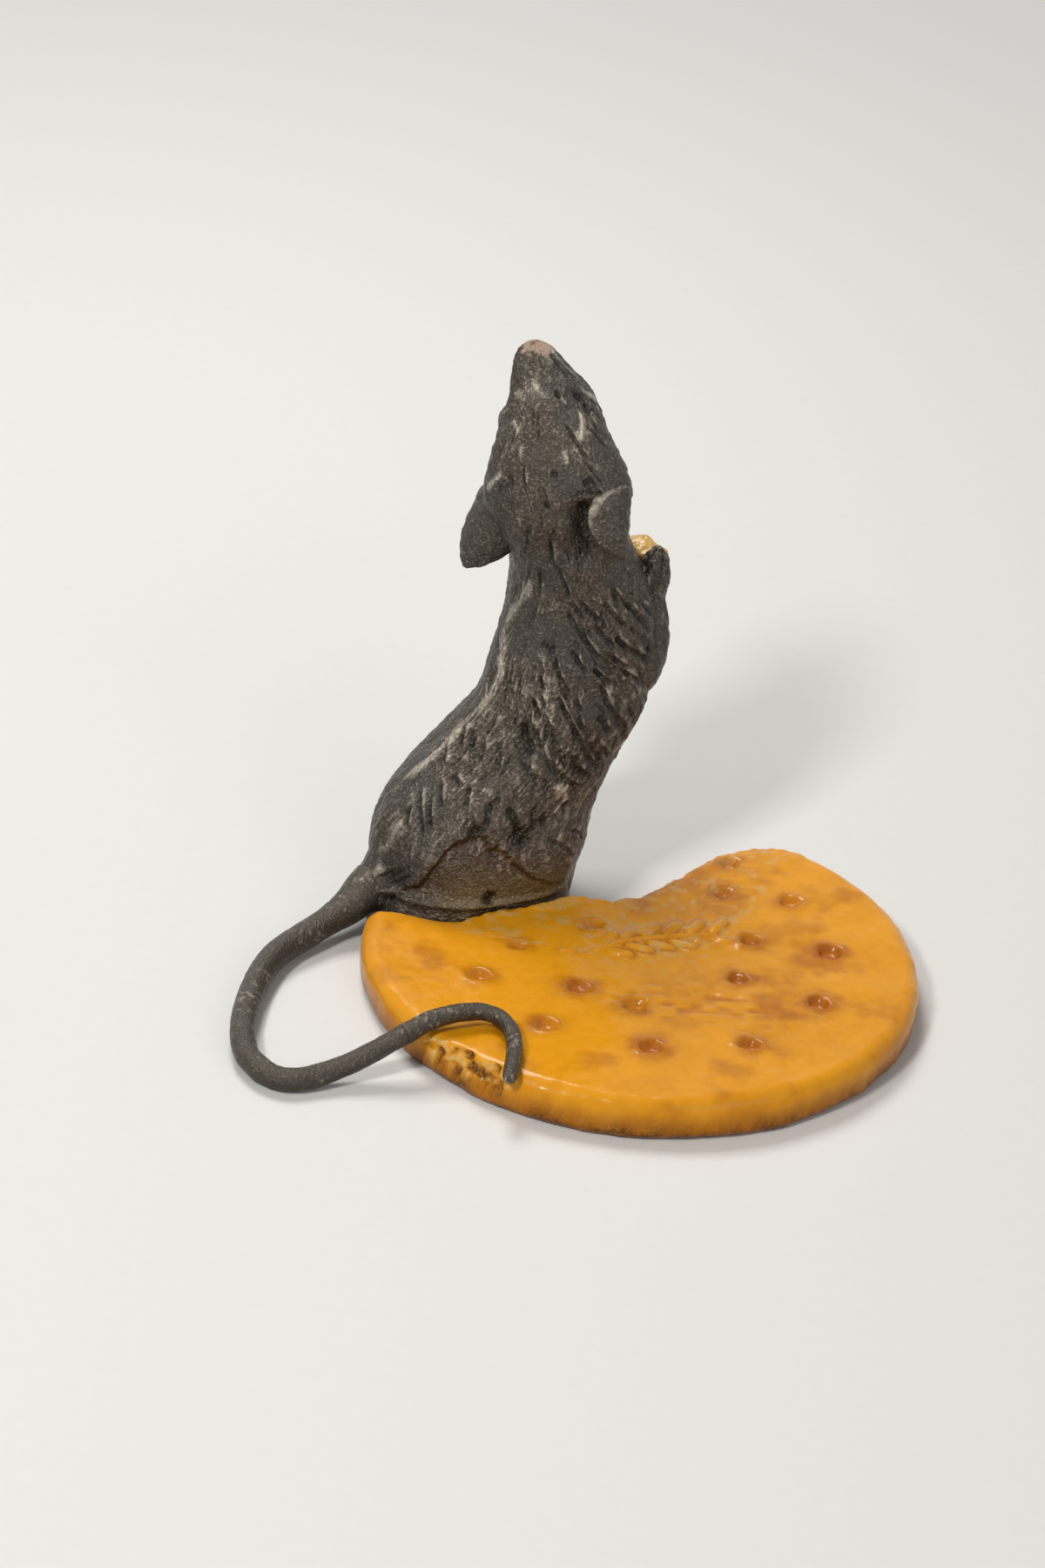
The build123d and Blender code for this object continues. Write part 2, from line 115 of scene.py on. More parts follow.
def noise(places: Array, seed: int) -> Array:
    """Smooth noise between -1 and 1: a chance value at each whole-number corner, eased between.

    Args:
        places: positions along the last axis, 3 numbers each, one unit to a cell.
        seed: the number that picks the pattern.

    Returns:
        One value for each place.
    """
    corner = np.floor(places).astype(np.int64)
    part = places - corner
    ease = part * part * part * (part * (part * 6 - 15) + 10)
    total = np.zeros(places.shape[:-1])
    for index in range(8):
        step = np.array([index & 1, (index >> 1) & 1, (index >> 2) & 1])
        at = corner + step
        code = at[..., 0] * 374761393 + at[..., 1] * 668265263 + at[..., 2] * 2147483647 + seed * 974634777
        code = (code ^ (code >> 13)) * 1274126177
        code = (code ^ (code >> 16)) & 0xFFFFFF
        share = np.prod(np.where(step, ease, 1 - ease), axis=-1)
        total += share * (code / 0x7FFFFF - 1.0)
    return total


def layered_noise(places: Array, seed: int, layers: int = 3) -> Array:
    """Noise with finer, weaker noise laid over it, each layer twice as fine and half as strong.

    Args:
        places: positions along the last axis.
        seed: the number that picks the pattern.
        layers: how many layers are laid.

    Returns:
        One value for each place, about -1 to 1.
    """
    total = np.zeros(places.shape[:-1])
    for layer in range(layers):
        total += noise(places * 2.0**layer, seed + layer) * 0.5**layer
    return total / 1.5


def smooth_larger(first: Array, second: Array, blend: float) -> Array:
    """The larger of two values, with a fillet of the blend's size where they cross.

    Args:
        first: one value or array.
        second: the other.
        blend: the width over which one turns into the other.

    Returns:
        An array of the larger values.
    """
    part = np.clip(0.5 + 0.5 * (first - second) / blend, 0, 1)
    return second * (1 - part) + first * part + blend * part * (1 - part)


def soft_step(value: Array, low: float, high: float) -> Array:
    """0 below low, 1 above high and an eased rise between them."""
    part = np.clip((value - low) / (high - low), 0, 1)
    return part * part * (3 - 2 * part)


class Cut(Enum):
    """How a tool mark stands on the surface."""

    GROOVE = "groove"
    RIDGE = "ridge"
    TUFT = "tuft"
    PIT = "pit"


@dataclass(frozen=True)
class Mark:
    """One tool mark: a run of (degrees round, millimetres up), its width, its depth and its kind."""

    run: tuple[tuple[float, float], ...]
    width: float
    depth: float
    cut: Cut


@dataclass(frozen=True)
class MarkSet:
    """Tool marks of one kind: the kind, the width and depth in millimetres, and each mark's trace.

    A trace is a row of places in the photograph's own pixels from the upper left. They were read
    off the photograph, and near the outlines they were then shifted one by one until the marks lay right.
    """

    cut: Cut
    width: float
    depth: float
    traces: Traces


def coat_strokes(
    seed: int, count: int, turns: tuple[float, float], levels: tuple[float, float], girth: float
) -> list[Mark]:
    """Short strokes all over a coat, as a modeller's tool leaves them.

    Each starts at a chance place and runs down, leaning away from the spine by the place's
    own turn from it, so that the strokes part along the back.

    Args:
        seed: the number that picks the places.
        count: how many strokes.
        turns: the first and last degrees round.
        levels: the lowest and highest start, in millimetres up.
        girth: millimetres to a degree.

    Returns:
        The strokes.
    """
    chance = np.random.default_rng(seed)
    turn = chance.uniform(*turns, count)
    height = chance.uniform(*levels, count)
    length = chance.uniform(1.4, 3.2, count)
    lean = np.sin(np.radians(turn - 172)) * chance.uniform(0.5, 1.0, count)
    across = length * lean / girth
    width = chance.uniform(0.13, 0.22, count)
    depth = chance.uniform(0.08, 0.18, count)
    return [
        Mark(
            (
                (turn[index], height[index]),
                (turn[index] + 0.6 * across[index], height[index] - 0.45 * length[index]),
                (turn[index] + across[index], height[index] - length[index]),
            ),
            width[index],
            depth[index],
            Cut.TUFT,
        )
        for index in range(count)
    ]


def mark_relief(turn: Array, height: Array, girth: Array, marks: list[Mark]) -> Array:
    """How far the marks raise or sink each place.

    A groove or ridge follows its run with a bell-shaped section. A tuft is a groove with a
    raised lip along one side. Each fades out at its ends.

    Args:
        turn: degrees round the form at each grid place.
        height: millimetres up at each grid place.
        girth: millimetres to a degree at each grid place.
        marks: the marks.

    Returns:
        Millimetres outwards at each grid place.
    """
    relief = np.zeros_like(turn)
    level = height.mean(axis=1)
    for mark in marks:
        points = np.asarray(mark.run, float)
        reach = 4 * mark.width
        rows = np.flatnonzero((level > points[:, 1].min() - reach) & (level < points[:, 1].max() + reach))
        if not len(rows):
            continue
        window = slice(rows[0], rows[-1] + 1)
        nearest = np.full(turn[window].shape, 1e3)
        side = np.zeros_like(nearest)
        along = np.zeros_like(nearest)
        starts = points[:-1] if len(points) > 1 else points
        ends = points[1:] if len(points) > 1 else points + 1e-6
        for rank, (start, end) in enumerate(zip(starts, ends)):
            across = ((turn[window] - start[0] + 180) % 360 - 180) * girth[window]
            up = height[window] - start[1]
            run_across = ((end[0] - start[0] + 180) % 360 - 180) * girth[window]
            run_up = end[1] - start[1]
            length = np.maximum(run_across**2 + run_up**2, 1e-9)
            part = np.clip((across * run_across + up * run_up) / length, 0, 1)
            off_across = across - part * run_across
            off_up = up - part * run_up
            distance = np.hypot(off_across, off_up)
            closer = distance < nearest
            nearest = np.where(closer, distance, nearest)
            turned = (run_across * off_up - run_up * off_across) / np.sqrt(length)
            side = np.where(closer, turned, side)
            along = np.where(closer, (rank + part) / len(starts), along)
        bell = np.exp(-((nearest / mark.width) ** 2))
        if mark.cut is Cut.PIT:
            relief[window] -= mark.depth * bell
            continue
        fade = soft_step(along, -0.01, 0.2) * soft_step(1.01 - along, 0.0, 0.25)
        if mark.cut is Cut.RIDGE:
            relief[window] += mark.depth * np.exp(-np.sqrt((nearest / mark.width) ** 2 + 0.05) * 1.6) * fade
        elif mark.cut is Cut.GROOVE:
            relief[window] -= mark.depth * bell * fade
        else:
            lip = np.exp(-(((side - 1.3 * mark.width) / (0.8 * mark.width)) ** 2))
            beside = np.exp(-((np.maximum(nearest - 2.5 * mark.width, 0) / mark.width) ** 2))
            relief[window] += (0.55 * lip * beside - bell) * mark.depth * fade
    return relief


# Meshes


def grid_normals(points: Array) -> Array:
    """Outward directions of a grid that closes on itself along its second axis.

    Args:
        points: rows by columns by 3.

    Returns:
        Directions of the same shape.
    """
    around = np.roll(points, -1, axis=1) - np.roll(points, 1, axis=1)
    along = np.gradient(points, axis=0)
    return unit(np.cross(around, along))


def tube_mesh(
    name: str, points: Array, fields: dict[str, Array], normals: Array | None = None
) -> bpy.types.Object:
    """A closed mesh from rings of points, with a fan of faces over each end.

    Args:
        name: the piece's name.
        points: rings by columns by 3, in millimetres, counter-clockwise seen from the last ring.
        fields: named values for each point, kept as attributes of the mesh.
        normals: the shading directions of the points, where the grid's own won't do.

    Returns:
        The new object, at the origin.
    """
    rings, columns, _ = points.shape
    ends = np.stack([points[0].mean(axis=0), points[-1].mean(axis=0)])
    vertices = np.concatenate([points.reshape(-1, 3), ends]) * METRE
    ring = np.arange(rings - 1)[:, None] * columns
    column = np.arange(columns)[None, :]
    beyond = (column + 1) % columns
    above = ring + columns
    quads = np.stack([ring + column, ring + beyond, above + beyond, above + column], axis=-1).reshape(-1, 4)
    first = rings * columns
    low_fan = np.stack([np.full(columns, first), beyond[0], column[0]], axis=-1)
    last = (rings - 1) * columns
    high_fan = np.stack([np.full(columns, first + 1), last + column[0], last + beyond[0]], axis=-1)
    loops = np.concatenate([quads.ravel(), low_fan.ravel(), high_fan.ravel()])
    sizes = np.concatenate([np.full(len(quads), 4), np.full(2 * columns, 3)])
    starts = np.concatenate([[0], np.cumsum(sizes)[:-1]])
    mesh = bpy.data.meshes.new(name)
    mesh.vertices.add(len(vertices))
    mesh.vertices.foreach_set("co", vertices.ravel())
    mesh.loops.add(len(loops))
    mesh.loops.foreach_set("vertex_index", loops.astype(np.int32))
    mesh.polygons.add(len(sizes))
    mesh.polygons.foreach_set("loop_start", starts.astype(np.int32))
    smooth = np.ones(len(sizes), bool)
    smooth[len(quads) :] = False
    mesh.polygons.foreach_set("use_smooth", smooth)
    mesh.update(calc_edges=True)
    mesh.validate()
    for label, values in fields.items():
        attribute = mesh.attributes.new(label, "FLOAT", "POINT")
        flat = np.broadcast_to(values, (rings, columns)).ravel()
        whole = np.concatenate([flat, [np.mean(flat[:columns]), np.mean(flat[-columns:])]])
        attribute.data.foreach_set("value", whole.astype(np.float32))
    if normals is not None:
        caps = np.array([[0.0, 0.0, -1.0], [0.0, 0.0, 1.0]])
        mesh.normals_split_custom_set_from_vertices(np.concatenate([normals.reshape(-1, 3), caps]))
    thing = bpy.data.objects.new(name, mesh)
    bpy.context.scene.collection.objects.link(thing)
    return thing


def carried_profile(path: Array, steady: Point, across: Array, upward: Array) -> Array:
    """Rings square to a path, each with its own section.

    Args:
        path: points of the path, one row each.
        steady: a direction that the path never follows, which keeps the rings from turning.
        across: rows by columns, the section's places along the ring's own X.
        upward: rows by columns, its places along the ring's own Y.

    Returns:
        Rings by columns by 3.
    """
    along = unit(np.gradient(path, axis=0))
    own_x = unit(np.cross(np.asarray(steady, float), along))
    own_y = np.cross(along, own_x)
    return path[:, None] + across[..., None] * own_x[:, None] + upward[..., None] * own_y[:, None]


# Finishes


@dataclass
class NodeBench:
    """A small helper that adds and joins nodes in one tree."""

    tree: bpy.types.NodeTree

    def add(self, kind: str, **values: object) -> bpy.types.Node:
        """A new node with its properties set.

        Args:
            kind: the node's type.
            values: the properties by name.

        Returns:
            The node.
        """
        node = self.tree.nodes.new(kind)
        for key, value in values.items():
            setattr(node, key, value)
        return node

    def join(self, source: bpy.types.NodeSocket, target: bpy.types.NodeSocket) -> None:
        """A link from one socket to another."""
        self.tree.links.new(source, target)

    def mix(self, factor: bpy.types.NodeSocket, first: object, second: object) -> bpy.types.NodeSocket:
        """A colour mix of two colours or sockets.

        Args:
            factor: the mask socket.
            first: the colour or socket where the mask is 0.
            second: the colour or socket where the mask is 1.

        Returns:
            The mixed colour's socket.
        """
        node = self.add("ShaderNodeMix", data_type="RGBA")
        self.join(factor, node.inputs[0])
        for socket, value in ((node.inputs[6], first), (node.inputs[7], second)):
            if isinstance(value, bpy.types.NodeSocket):
                self.join(value, socket)
            else:
                socket.default_value = (*value, 1.0)
        return node.outputs[2]

    def ramp(
        self, source: bpy.types.NodeSocket, low: float, high: float, out_low: float, out_high: float
    ) -> bpy.types.NodeSocket:
        """A value mapped from one range to another and held inside it.

        Args:
            source: the value's socket.
            low: the value that gives out_low.
            high: the value that gives out_high.
            out_low: the first result.
            out_high: the last result.

        Returns:
            The result's socket.
        """
        node = self.add("ShaderNodeMapRange", clamp=True)
        self.join(source, node.inputs[0])
        for socket, value in zip(node.inputs[1:5], (low, high, out_low, out_high)):
            socket.default_value = value
        return node.outputs[0]

    def math(self, operation: str, first: object, second: object) -> bpy.types.NodeSocket:
        """Two values or sockets put through one operation.

        Args:
            operation: the operation's name.
            first: the first value or socket.
            second: the second value or socket.

        Returns:
            The result's socket.
        """
        node = self.add("ShaderNodeMath", operation=operation)
        for socket, value in zip(node.inputs, (first, second)):
            if isinstance(value, bpy.types.NodeSocket):
                self.join(value, socket)
            else:
                socket.default_value = value
        return node.outputs[0]

    def bump(
        self, height: bpy.types.NodeSocket, strength: float, depth: float, shader: bpy.types.Node
    ) -> None:
        """Fine relief on a shader.

        Args:
            height: the relief's socket.
            strength: how strongly it shows.
            depth: how deep it is, in metres.
            shader: the shader.
        """
        node = self.add("ShaderNodeBump")
        node.inputs["Strength"].default_value = strength
        node.inputs["Distance"].default_value = depth
        self.join(height, node.inputs["Height"])
        self.join(node.outputs["Normal"], shader.inputs["Normal"])


def begun_material(
    name: str, grain: bpy.types.NodeTree, labels: tuple[str, ...] = ()
) -> tuple[bpy.types.Material, NodeBench, bpy.types.Node, dict[str, bpy.types.NodeSocket]]:
    """A new material that has the shared grain and reads the masks of the piece's mesh.

    Args:
        name: the material's name.
        grain: the shared grain group.
        labels: the masks' names.

    Returns:
        The material, a bench on its nodes, the grain's node and the masks by name.
    """
    material = bpy.data.materials.new(name)
    material.use_nodes = True
    bench = NodeBench(material.node_tree)
    masks = {}
    for label in labels:
        masks[label] = bench.add("ShaderNodeAttribute", attribute_name=label).outputs["Fac"]
    return material, bench, bench.add("ShaderNodeGroup", node_tree=grain), masks


def grain_group() -> bpy.types.NodeTree:
    """The fine grain, the blotches and the specks that every painted casting shares.

    Returns:
        A node group with sizes as inputs and three masks as outputs.
    """
    group = bpy.data.node_groups.new("paint_grain", "ShaderNodeTree")
    for label, value in (("Grain size", 4000.0), ("Blotch size", 180.0), ("Speck size", 900.0)):
        socket = group.interface.new_socket(label, in_out="INPUT", socket_type="NodeSocketFloat")
        socket.default_value = value
    for label in ("Grain", "Blotch", "Speck"):
        group.interface.new_socket(label, in_out="OUTPUT", socket_type="NodeSocketFloat")
    bench = NodeBench(group)
    source = bench.add("NodeGroupInput")
    result = bench.add("NodeGroupOutput")
    place = bench.add("ShaderNodeTexCoord")
    grain = bench.add("ShaderNodeTexNoise")
    grain.inputs["Detail"].default_value = 3.0
    grain.inputs["Roughness"].default_value = 0.62
    blotch = bench.add("ShaderNodeTexNoise")
    blotch.inputs["Detail"].default_value = 4.0
    blotch.inputs["Roughness"].default_value = 0.6
    speck = bench.add("ShaderNodeTexVoronoi")
    for node, label in ((grain, "Grain size"), (blotch, "Blotch size"), (speck, "Speck size")):
        bench.join(place.outputs["Object"], node.inputs["Vector"])
        bench.join(source.outputs[label], node.inputs["Scale"])
    bench.join(grain.outputs["Fac"], result.inputs["Grain"])
    bench.join(blotch.outputs["Fac"], result.inputs["Blotch"])
    bench.join(bench.ramp(speck.outputs["Distance"], 0.10, 0.22, 1.0, 0.0), result.inputs["Speck"])
    return group


@dataclass(frozen=True)
class CastPaint:
    """Satin dark cold paint over cast bronze, worn to the metal where it stands proud, with painted
    highlights there and on grain specks, painted shade in its sunk places and a painted reflection of the
    biscuit low on the body.
    """

    name: str
    paint: Point = (0.066, 0.053, 0.041)
    # Worn paint and painted highlight: the pale colour that proud places and grain specks turn to.
    rubbed_and_highlight: Point = (0.60, 0.53, 0.44)
    # Painted shade: the colour that grooves, pits and the neck hollow darken to.
    hollow: Point = (0.012, 0.009, 0.006)
    blue_paint: Point = (0.045, 0.044, 0.044)
    tan: Point = (0.46, 0.31, 0.225)
    # Also the colour of the painted reflection of the biscuit low on the body.
    bare_brass: Point = (0.85, 0.62, 0.22)
    roughness: float = 0.32
    metal_share: float = 0.78

    def build(self, grain: bpy.types.NodeTree) -> bpy.types.Material:
        """The material, which reads the masks that the piece's mesh carries.

        Args:
            grain: the shared grain group.

        Returns:
            The new material.
        """
        labels = ("proud", "smooth", "tan", "brass")
        material, bench, texture, masks = begun_material(self.name, grain, labels)
        shader = material.node_tree.nodes["Principled BSDF"]
        texture.inputs["Grain size"].default_value = 3200.0
        texture.inputs["Blotch size"].default_value = 150.0
        # Painted glints: light specks on the grain, fewer where the fur lies smooth.
        sparkle = bench.ramp(texture.outputs["Grain"], 0.50, 0.75, 0.0, 0.30)
        # Wear on the proud places, which also stands for painted highlight.
        worn = bench.ramp(masks["proud"], 0.22, 1.2, 0.0, 0.8)
        sparkle = bench.math("MULTIPLY", sparkle, bench.ramp(masks["smooth"], 0.0, 1.0, 1.0, 0.1))
        worn = bench.math("ADD", worn, sparkle)
        worn = bench.math("MULTIPLY", worn, bench.ramp(texture.outputs["Blotch"], 0.30, 0.62, 0.35, 1.0))
        # Painted shade: the sunk places darken towards the hollow colour.
        deep = bench.ramp(masks["proud"], -1.0, -0.2, 0.8, 0.0)
        colour = bench.mix(deep, self.paint, self.hollow)
        colour = bench.mix(masks["smooth"], colour, self.blue_paint)
        colour = bench.mix(worn, colour, self.rubbed_and_highlight)
        colour = bench.mix(masks["tan"], colour, self.tan)
        # The brass mask holds the ear's bare brass and, low on the body, a painted reflection of the
        # biscuit, which also turns those places metallic.
        colour = bench.mix(masks["brass"], colour, self.bare_brass)
        bench.join(colour, shader.inputs["Base Color"])
        metal = bench.math("MULTIPLY", bench.ramp(masks["tan"], 0.0, 0.6, 1.0, 0.0), self.metal_share)
        bench.join(bench.math("MAXIMUM", metal, masks["brass"]), shader.inputs["Metallic"])
        dull, bright = self.roughness + 0.10, self.roughness - 0.10
        rough = bench.ramp(texture.outputs["Grain"], 0.35, 0.65, dull, bright)
        bench.join(rough, shader.inputs["Roughness"])
        bench.bump(texture.outputs["Grain"], strength=1.0, depth=0.00024, shader=shader)
        return material


@dataclass(frozen=True)
class BiscuitPaint:
    """Semi-gloss yellow-orange cold paint, darker where it pooled in the dimples, with painted shade
    towards the table and in the sunk crumbs.
    """

    name: str
    face: Point = (0.80, 0.330, 0.006)
    pooled: Point = (0.40, 0.110, 0.001)
    # Browner rim colour, laid darker towards the table: the rim's own tone and painted shade.
    rim: Point = (0.47, 0.155, 0.002)
    chipped: Point = (0.80, 0.50, 0.15)
    # Dirt and painted shade: the dark colour for the crumbled bite's dirt, the sunk crumbs and the side
    # towards the table.
    grime_and_shade: Point = (0.075, 0.026, 0.006)
    roughness: float = 0.26

    def build(self, grain: bpy.types.NodeTree) -> bpy.types.Material:
        """The material, which reads the masks that the piece's mesh carries.

        Args:
            grain: the shared grain group.

        Returns:
            The new material.
        """
        labels = ("pooled", "rim", "chipped", "grime_and_shade")
        material, bench, texture, masks = begun_material(self.name, grain, labels)
        shader = material.node_tree.nodes["Principled BSDF"]
        texture.inputs["Grain size"].default_value = 2600.0
        texture.inputs["Blotch size"].default_value = 90.0
        cloudy = bench.ramp(texture.outputs["Blotch"], 0.3, 0.7, 0.6, 1.0)
        stain = bench.math("MULTIPLY", masks["pooled"], cloudy)
        stain = bench.math("ADD", stain, bench.ramp(texture.outputs["Blotch"], 0.46, 0.70, 0.0, 0.30))
        colour = bench.mix(stain, self.face, self.pooled)
        # The side darkens towards the table: the rim's tone and painted shade.
        colour = bench.mix(masks["rim"], colour, self.rim)
        colour = bench.mix(masks["chipped"], colour, self.chipped)
        speckled = bench.ramp(texture.outputs["Grain"], 0.35, 0.6, 0.4, 1.0)
        # Dirt on the bite, and painted shade in the sunk crumbs and towards the table.
        grime_and_shade_share = bench.math("MULTIPLY", masks["grime_and_shade"], speckled)
        colour = bench.mix(grime_and_shade_share, colour, self.grime_and_shade)
        bench.join(colour, shader.inputs["Base Color"])
        bright, dull = self.roughness - 0.05, self.roughness + 0.12
        rough = bench.ramp(texture.outputs["Blotch"], 0.3, 0.7, bright, dull)
        bench.join(rough, shader.inputs["Roughness"])
        shader.inputs["Specular IOR Level"].default_value = 0.12
        shader.inputs["Coat Weight"].default_value = 0.20
        shader.inputs["Coat Roughness"].default_value = 0.07
        bench.bump(texture.outputs["Grain"], strength=0.22, depth=0.0001, shader=shader)
        return material


@dataclass(frozen=True)
class TurnedBrass:
    """Bare brass of the hidden dowels, with the fine rings that turning leaves."""

    name: str
    metal: Point = (0.70, 0.50, 0.20)
    tarnish: Point = (0.32, 0.20, 0.08)

    def build(self, grain: bpy.types.NodeTree) -> bpy.types.Material:
        """The material.

        Args:
            grain: the shared grain group.

        Returns:
            The new material.
        """
        material, bench, texture, _ = begun_material(self.name, grain)
        shader = material.node_tree.nodes["Principled BSDF"]
        shader.inputs["Metallic"].default_value = 1.0
        place = bench.add("ShaderNodeTexCoord")
        rings = bench.add("ShaderNodeTexWave", wave_type="BANDS", bands_direction="Y")
        rings.inputs["Scale"].default_value = 1500.0
        bench.join(place.outputs["Object"], rings.inputs["Vector"])
        stain = bench.ramp(texture.outputs["Blotch"], 0.4, 0.7, 0.0, 0.8)
        bench.join(bench.mix(stain, self.metal, self.tarnish), shader.inputs["Base Color"])
        bench.join(bench.ramp(texture.outputs["Grain"], 0.3, 0.7, 0.28, 0.42), shader.inputs["Roughness"])
        bench.bump(rings.outputs["Fac"], strength=0.3, depth=0.00005, shader=shader)
        return material


@dataclass
class Workshop:
    """The shared grain group and every finish, each built once."""

    grain: bpy.types.NodeTree = field(default_factory=grain_group)
    built: dict[str, bpy.types.Material] = field(default_factory=dict)

    def dress(self, thing: bpy.types.Object, finish: CastPaint | BiscuitPaint | TurnedBrass) -> None:
        """Puts one finish on an object in place of what it has.

        Args:
            thing: the object.
            finish: the finish.
        """
        if finish.name not in self.built:
            self.built[finish.name] = finish.build(self.grain)
        thing.data.materials.clear()
        thing.data.materials.append(self.built[finish.name])

    def place(self, thing: bpy.types.Object, node: str, finish: CastPaint | BiscuitPaint) -> None:
        """Dresses a new piece and sets it in the frame in place of a CAD node.

        Args:
            thing: the piece.
            node: the CAD node that it stands for.
            finish: the finish.
        """
        self.dress(thing, finish)
        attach(thing, "root")
        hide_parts(node)
        log.info("%s stands for %s with %d faces", thing.name, node, len(thing.data.polygons))


# The mouse's form


@dataclass(frozen=True)
class Swelling:
    """An egg-shaped swelling: its centre as shares, its way, half length, radius and fillet."""

    centre: Point
    way: Point
    half_length: float
    radius: float
    blend: float


@dataclass(frozen=True)
class MouseForm:
    """The seated mouse as level sections, in the mouse's own directions.

    A row of the sections holds the share of the height, the middle's shares forward and to the
    mouse's right, the half width's share, the length to the width, the twist in degrees and how
    much fuller the belly side is. A row of the swells holds degrees round, the share of the
    height, the shares that it spreads round and up, and the share that it rises.
    """

    height: float = 61.0
    heading: float = 40.0
    seat: tuple[float, float] = (-19.2, 14.4)
    sections: tuple[tuple[float, ...], ...] = (
        (0.000, -0.007, 0.000, 0.168, 1.12, 0, 0.04),
        (0.033, -0.005, 0.000, 0.170, 1.12, 0, 0.05),
        (0.098, 0.005, -0.005, 0.175, 1.13, 0, 0.06),
        (0.172, 0.018, -0.009, 0.174, 1.16, 0, 0.08),
        (0.246, 0.054, -0.005, 0.164, 1.19, 0, 0.10),
        (0.320, 0.111, 0.004, 0.149, 1.18, 0, 0.10),
        (0.393, 0.157, 0.014, 0.137, 1.15, 2, 0.10),
        (0.459, 0.172, 0.002, 0.123, 1.14, 4, 0.08),
        (0.516, 0.184, -0.009, 0.111, 1.12, 6, 0.05),
        (0.574, 0.192, -0.015, 0.102, 1.08, 12, 0.02),
        (0.631, 0.197, -0.022, 0.102, 1.06, 19, -0.04),
        (0.689, 0.193, -0.033, 0.101, 1.08, 26, -0.10),
        (0.754, 0.190, -0.051, 0.103, 1.10, 32, -0.14),
        (0.820, 0.185, -0.075, 0.100, 1.08, 32, -0.16),
        (0.869, 0.190, -0.095, 0.090, 1.02, 32, -0.14),
        (0.918, 0.192, -0.116, 0.070, 0.98, 32, -0.10),
        (0.959, 0.187, -0.139, 0.051, 0.95, 32, -0.04),
        (0.982, 0.185, -0.154, 0.034, 0.95, 32, 0.00),
        (0.9945, 0.184, -0.160, 0.018, 0.95, 32, 0.00),
        (0.9985, 0.184, -0.162, 0.004, 0.95, 32, 0.00),
    )

    swells: tuple[tuple[float, ...], ...] = (
        (170, 0.330, 0.034, 0.240, 0.013),
        (284, 0.565, 0.068, 0.085, 0.034),
        (302, 0.500, 0.070, 0.100, 0.024),
        (76, 0.565, 0.068, 0.085, 0.028),
        (58, 0.500, 0.070, 0.100, 0.020),
        (254, 0.805, 0.048, 0.062, 0.043),
        (122, 0.745, 0.052, 0.060, 0.038),
        (222, 0.370, 0.060, 0.070, -0.010),
        (66, 0.925, 0.034, 0.036, 0.012),
        (300, 0.925, 0.034, 0.036, 0.012),
    )

    def point(self, shares: Point) -> Array:
        """A point of the frame from its place on the mouse.

        Args:
            shares: how far up, forward and to the mouse's right it lies, as shares of the height.

        Returns:
            The point in millimetres.
        """
        up, forward, side = (share * self.height for share in shares)
        turn = radians(self.heading)
        return np.array(
            [
                self.seat[0] + forward * cos(turn) + side * sin(turn),
                self.seat[1] + forward * sin(turn) - side * cos(turn),
                up,
            ]
        )

    def way(self, forward: float, side: float, up: float) -> Array:
        """A direction of the frame from its parts in the mouse's own directions.

        Args:
            forward: the part forward.
            side: the part to the mouse's right.
            up: the part up.

        Returns:
            The direction, 1 long.
        """
        turn = radians(self.heading)
        return unit(
            np.array([forward * cos(turn) + side * sin(turn), forward * sin(turn) - side * cos(turn), up])
        )

    def traced(self, pixels: Array, viewer: "Viewer", swellings: tuple[Swelling, ...]) -> Array:
        """The places of the skin that show at some pixels of the photograph.

        Each is, of a fine grid of the places that face the camera, the one that it shows nearest.

        Args:
            pixels: rows of across and down.
            viewer: the photograph's camera.
            swellings: the swellings of the skin.

        Returns:
            Degrees round and millimetres up, a row for each pixel.
        """
        levels, columns = 600, 720
        rows = np.linspace(0, len(self.sections) - 1, levels)
        turns = np.arange(columns) * 360 / columns
        points, _ = self.skin(rows, turns, swellings)
        facing = np.sum((viewer.place() - points) * grid_normals(points), axis=-1) > 0
        seen = viewer.pixels(points[facing])
        places = np.stack([np.broadcast_to(turns, facing.shape)[facing], points[facing][:, 2]], axis=-1)
        nearest = [np.argmin(np.sum((seen - pixel) ** 2, axis=-1)) for pixel in pixels]
        return places[nearest]

    def skin(self, rows: Array, turns: Array, swellings: tuple[Swelling, ...]) -> tuple[Array, Array]:
        """The smooth skin with its swellings.

        At each level the section is an oval whose belly side is fuller. A broad swell moves it
        out by its rise times e to the minus square of the distance from the swell's middle. A
        swelling is met by a level ray from the section's middle, and where it reaches further
        than the oval it takes over with a fillet.

        Args:
            rows: fractional numbers of the sections.
            turns: degrees round from the heading, towards the mouse's left.
            swellings: the egg-shaped swellings.

        Returns:
            The points, rows by turns by 3, and the middles of the levels.
        """
        table = spline(np.asarray(self.sections), rows)
        up, forward, side, half, ratio, twist, fullness = table.T
        base = radians(self.heading)
        middle = np.stack(
            [
                self.seat[0] + self.height * (forward * cos(base) + side * sin(base)),
                self.seat[1] + self.height * (forward * sin(base) - side * cos(base)),
                up * self.height,
            ],
            axis=-1,
        )
        angle = np.radians(turns)[None, :]
        width = (np.maximum(half, 0.001) * self.height)[:, None]
        ahead = width * ratio[:, None] * np.cos(angle)
        left = width * (1 + fullness[:, None] * np.cos(angle)) * np.sin(angle)
        facing = np.radians(self.heading + twist)[:, None]
        offset = np.stack(
            [
                ahead * np.cos(facing) - left * np.sin(facing),
                ahead * np.sin(facing) + left * np.cos(facing),
                np.zeros_like(ahead),
            ],
            axis=-1,
        )
        reach = np.linalg.norm(offset, axis=-1)
        ray = unit(offset)
        for at_turn, at_height, round_share, up_share, rise in self.swells:
            aside = (angle - radians(at_turn) + pi) % FULL_TURN - pi
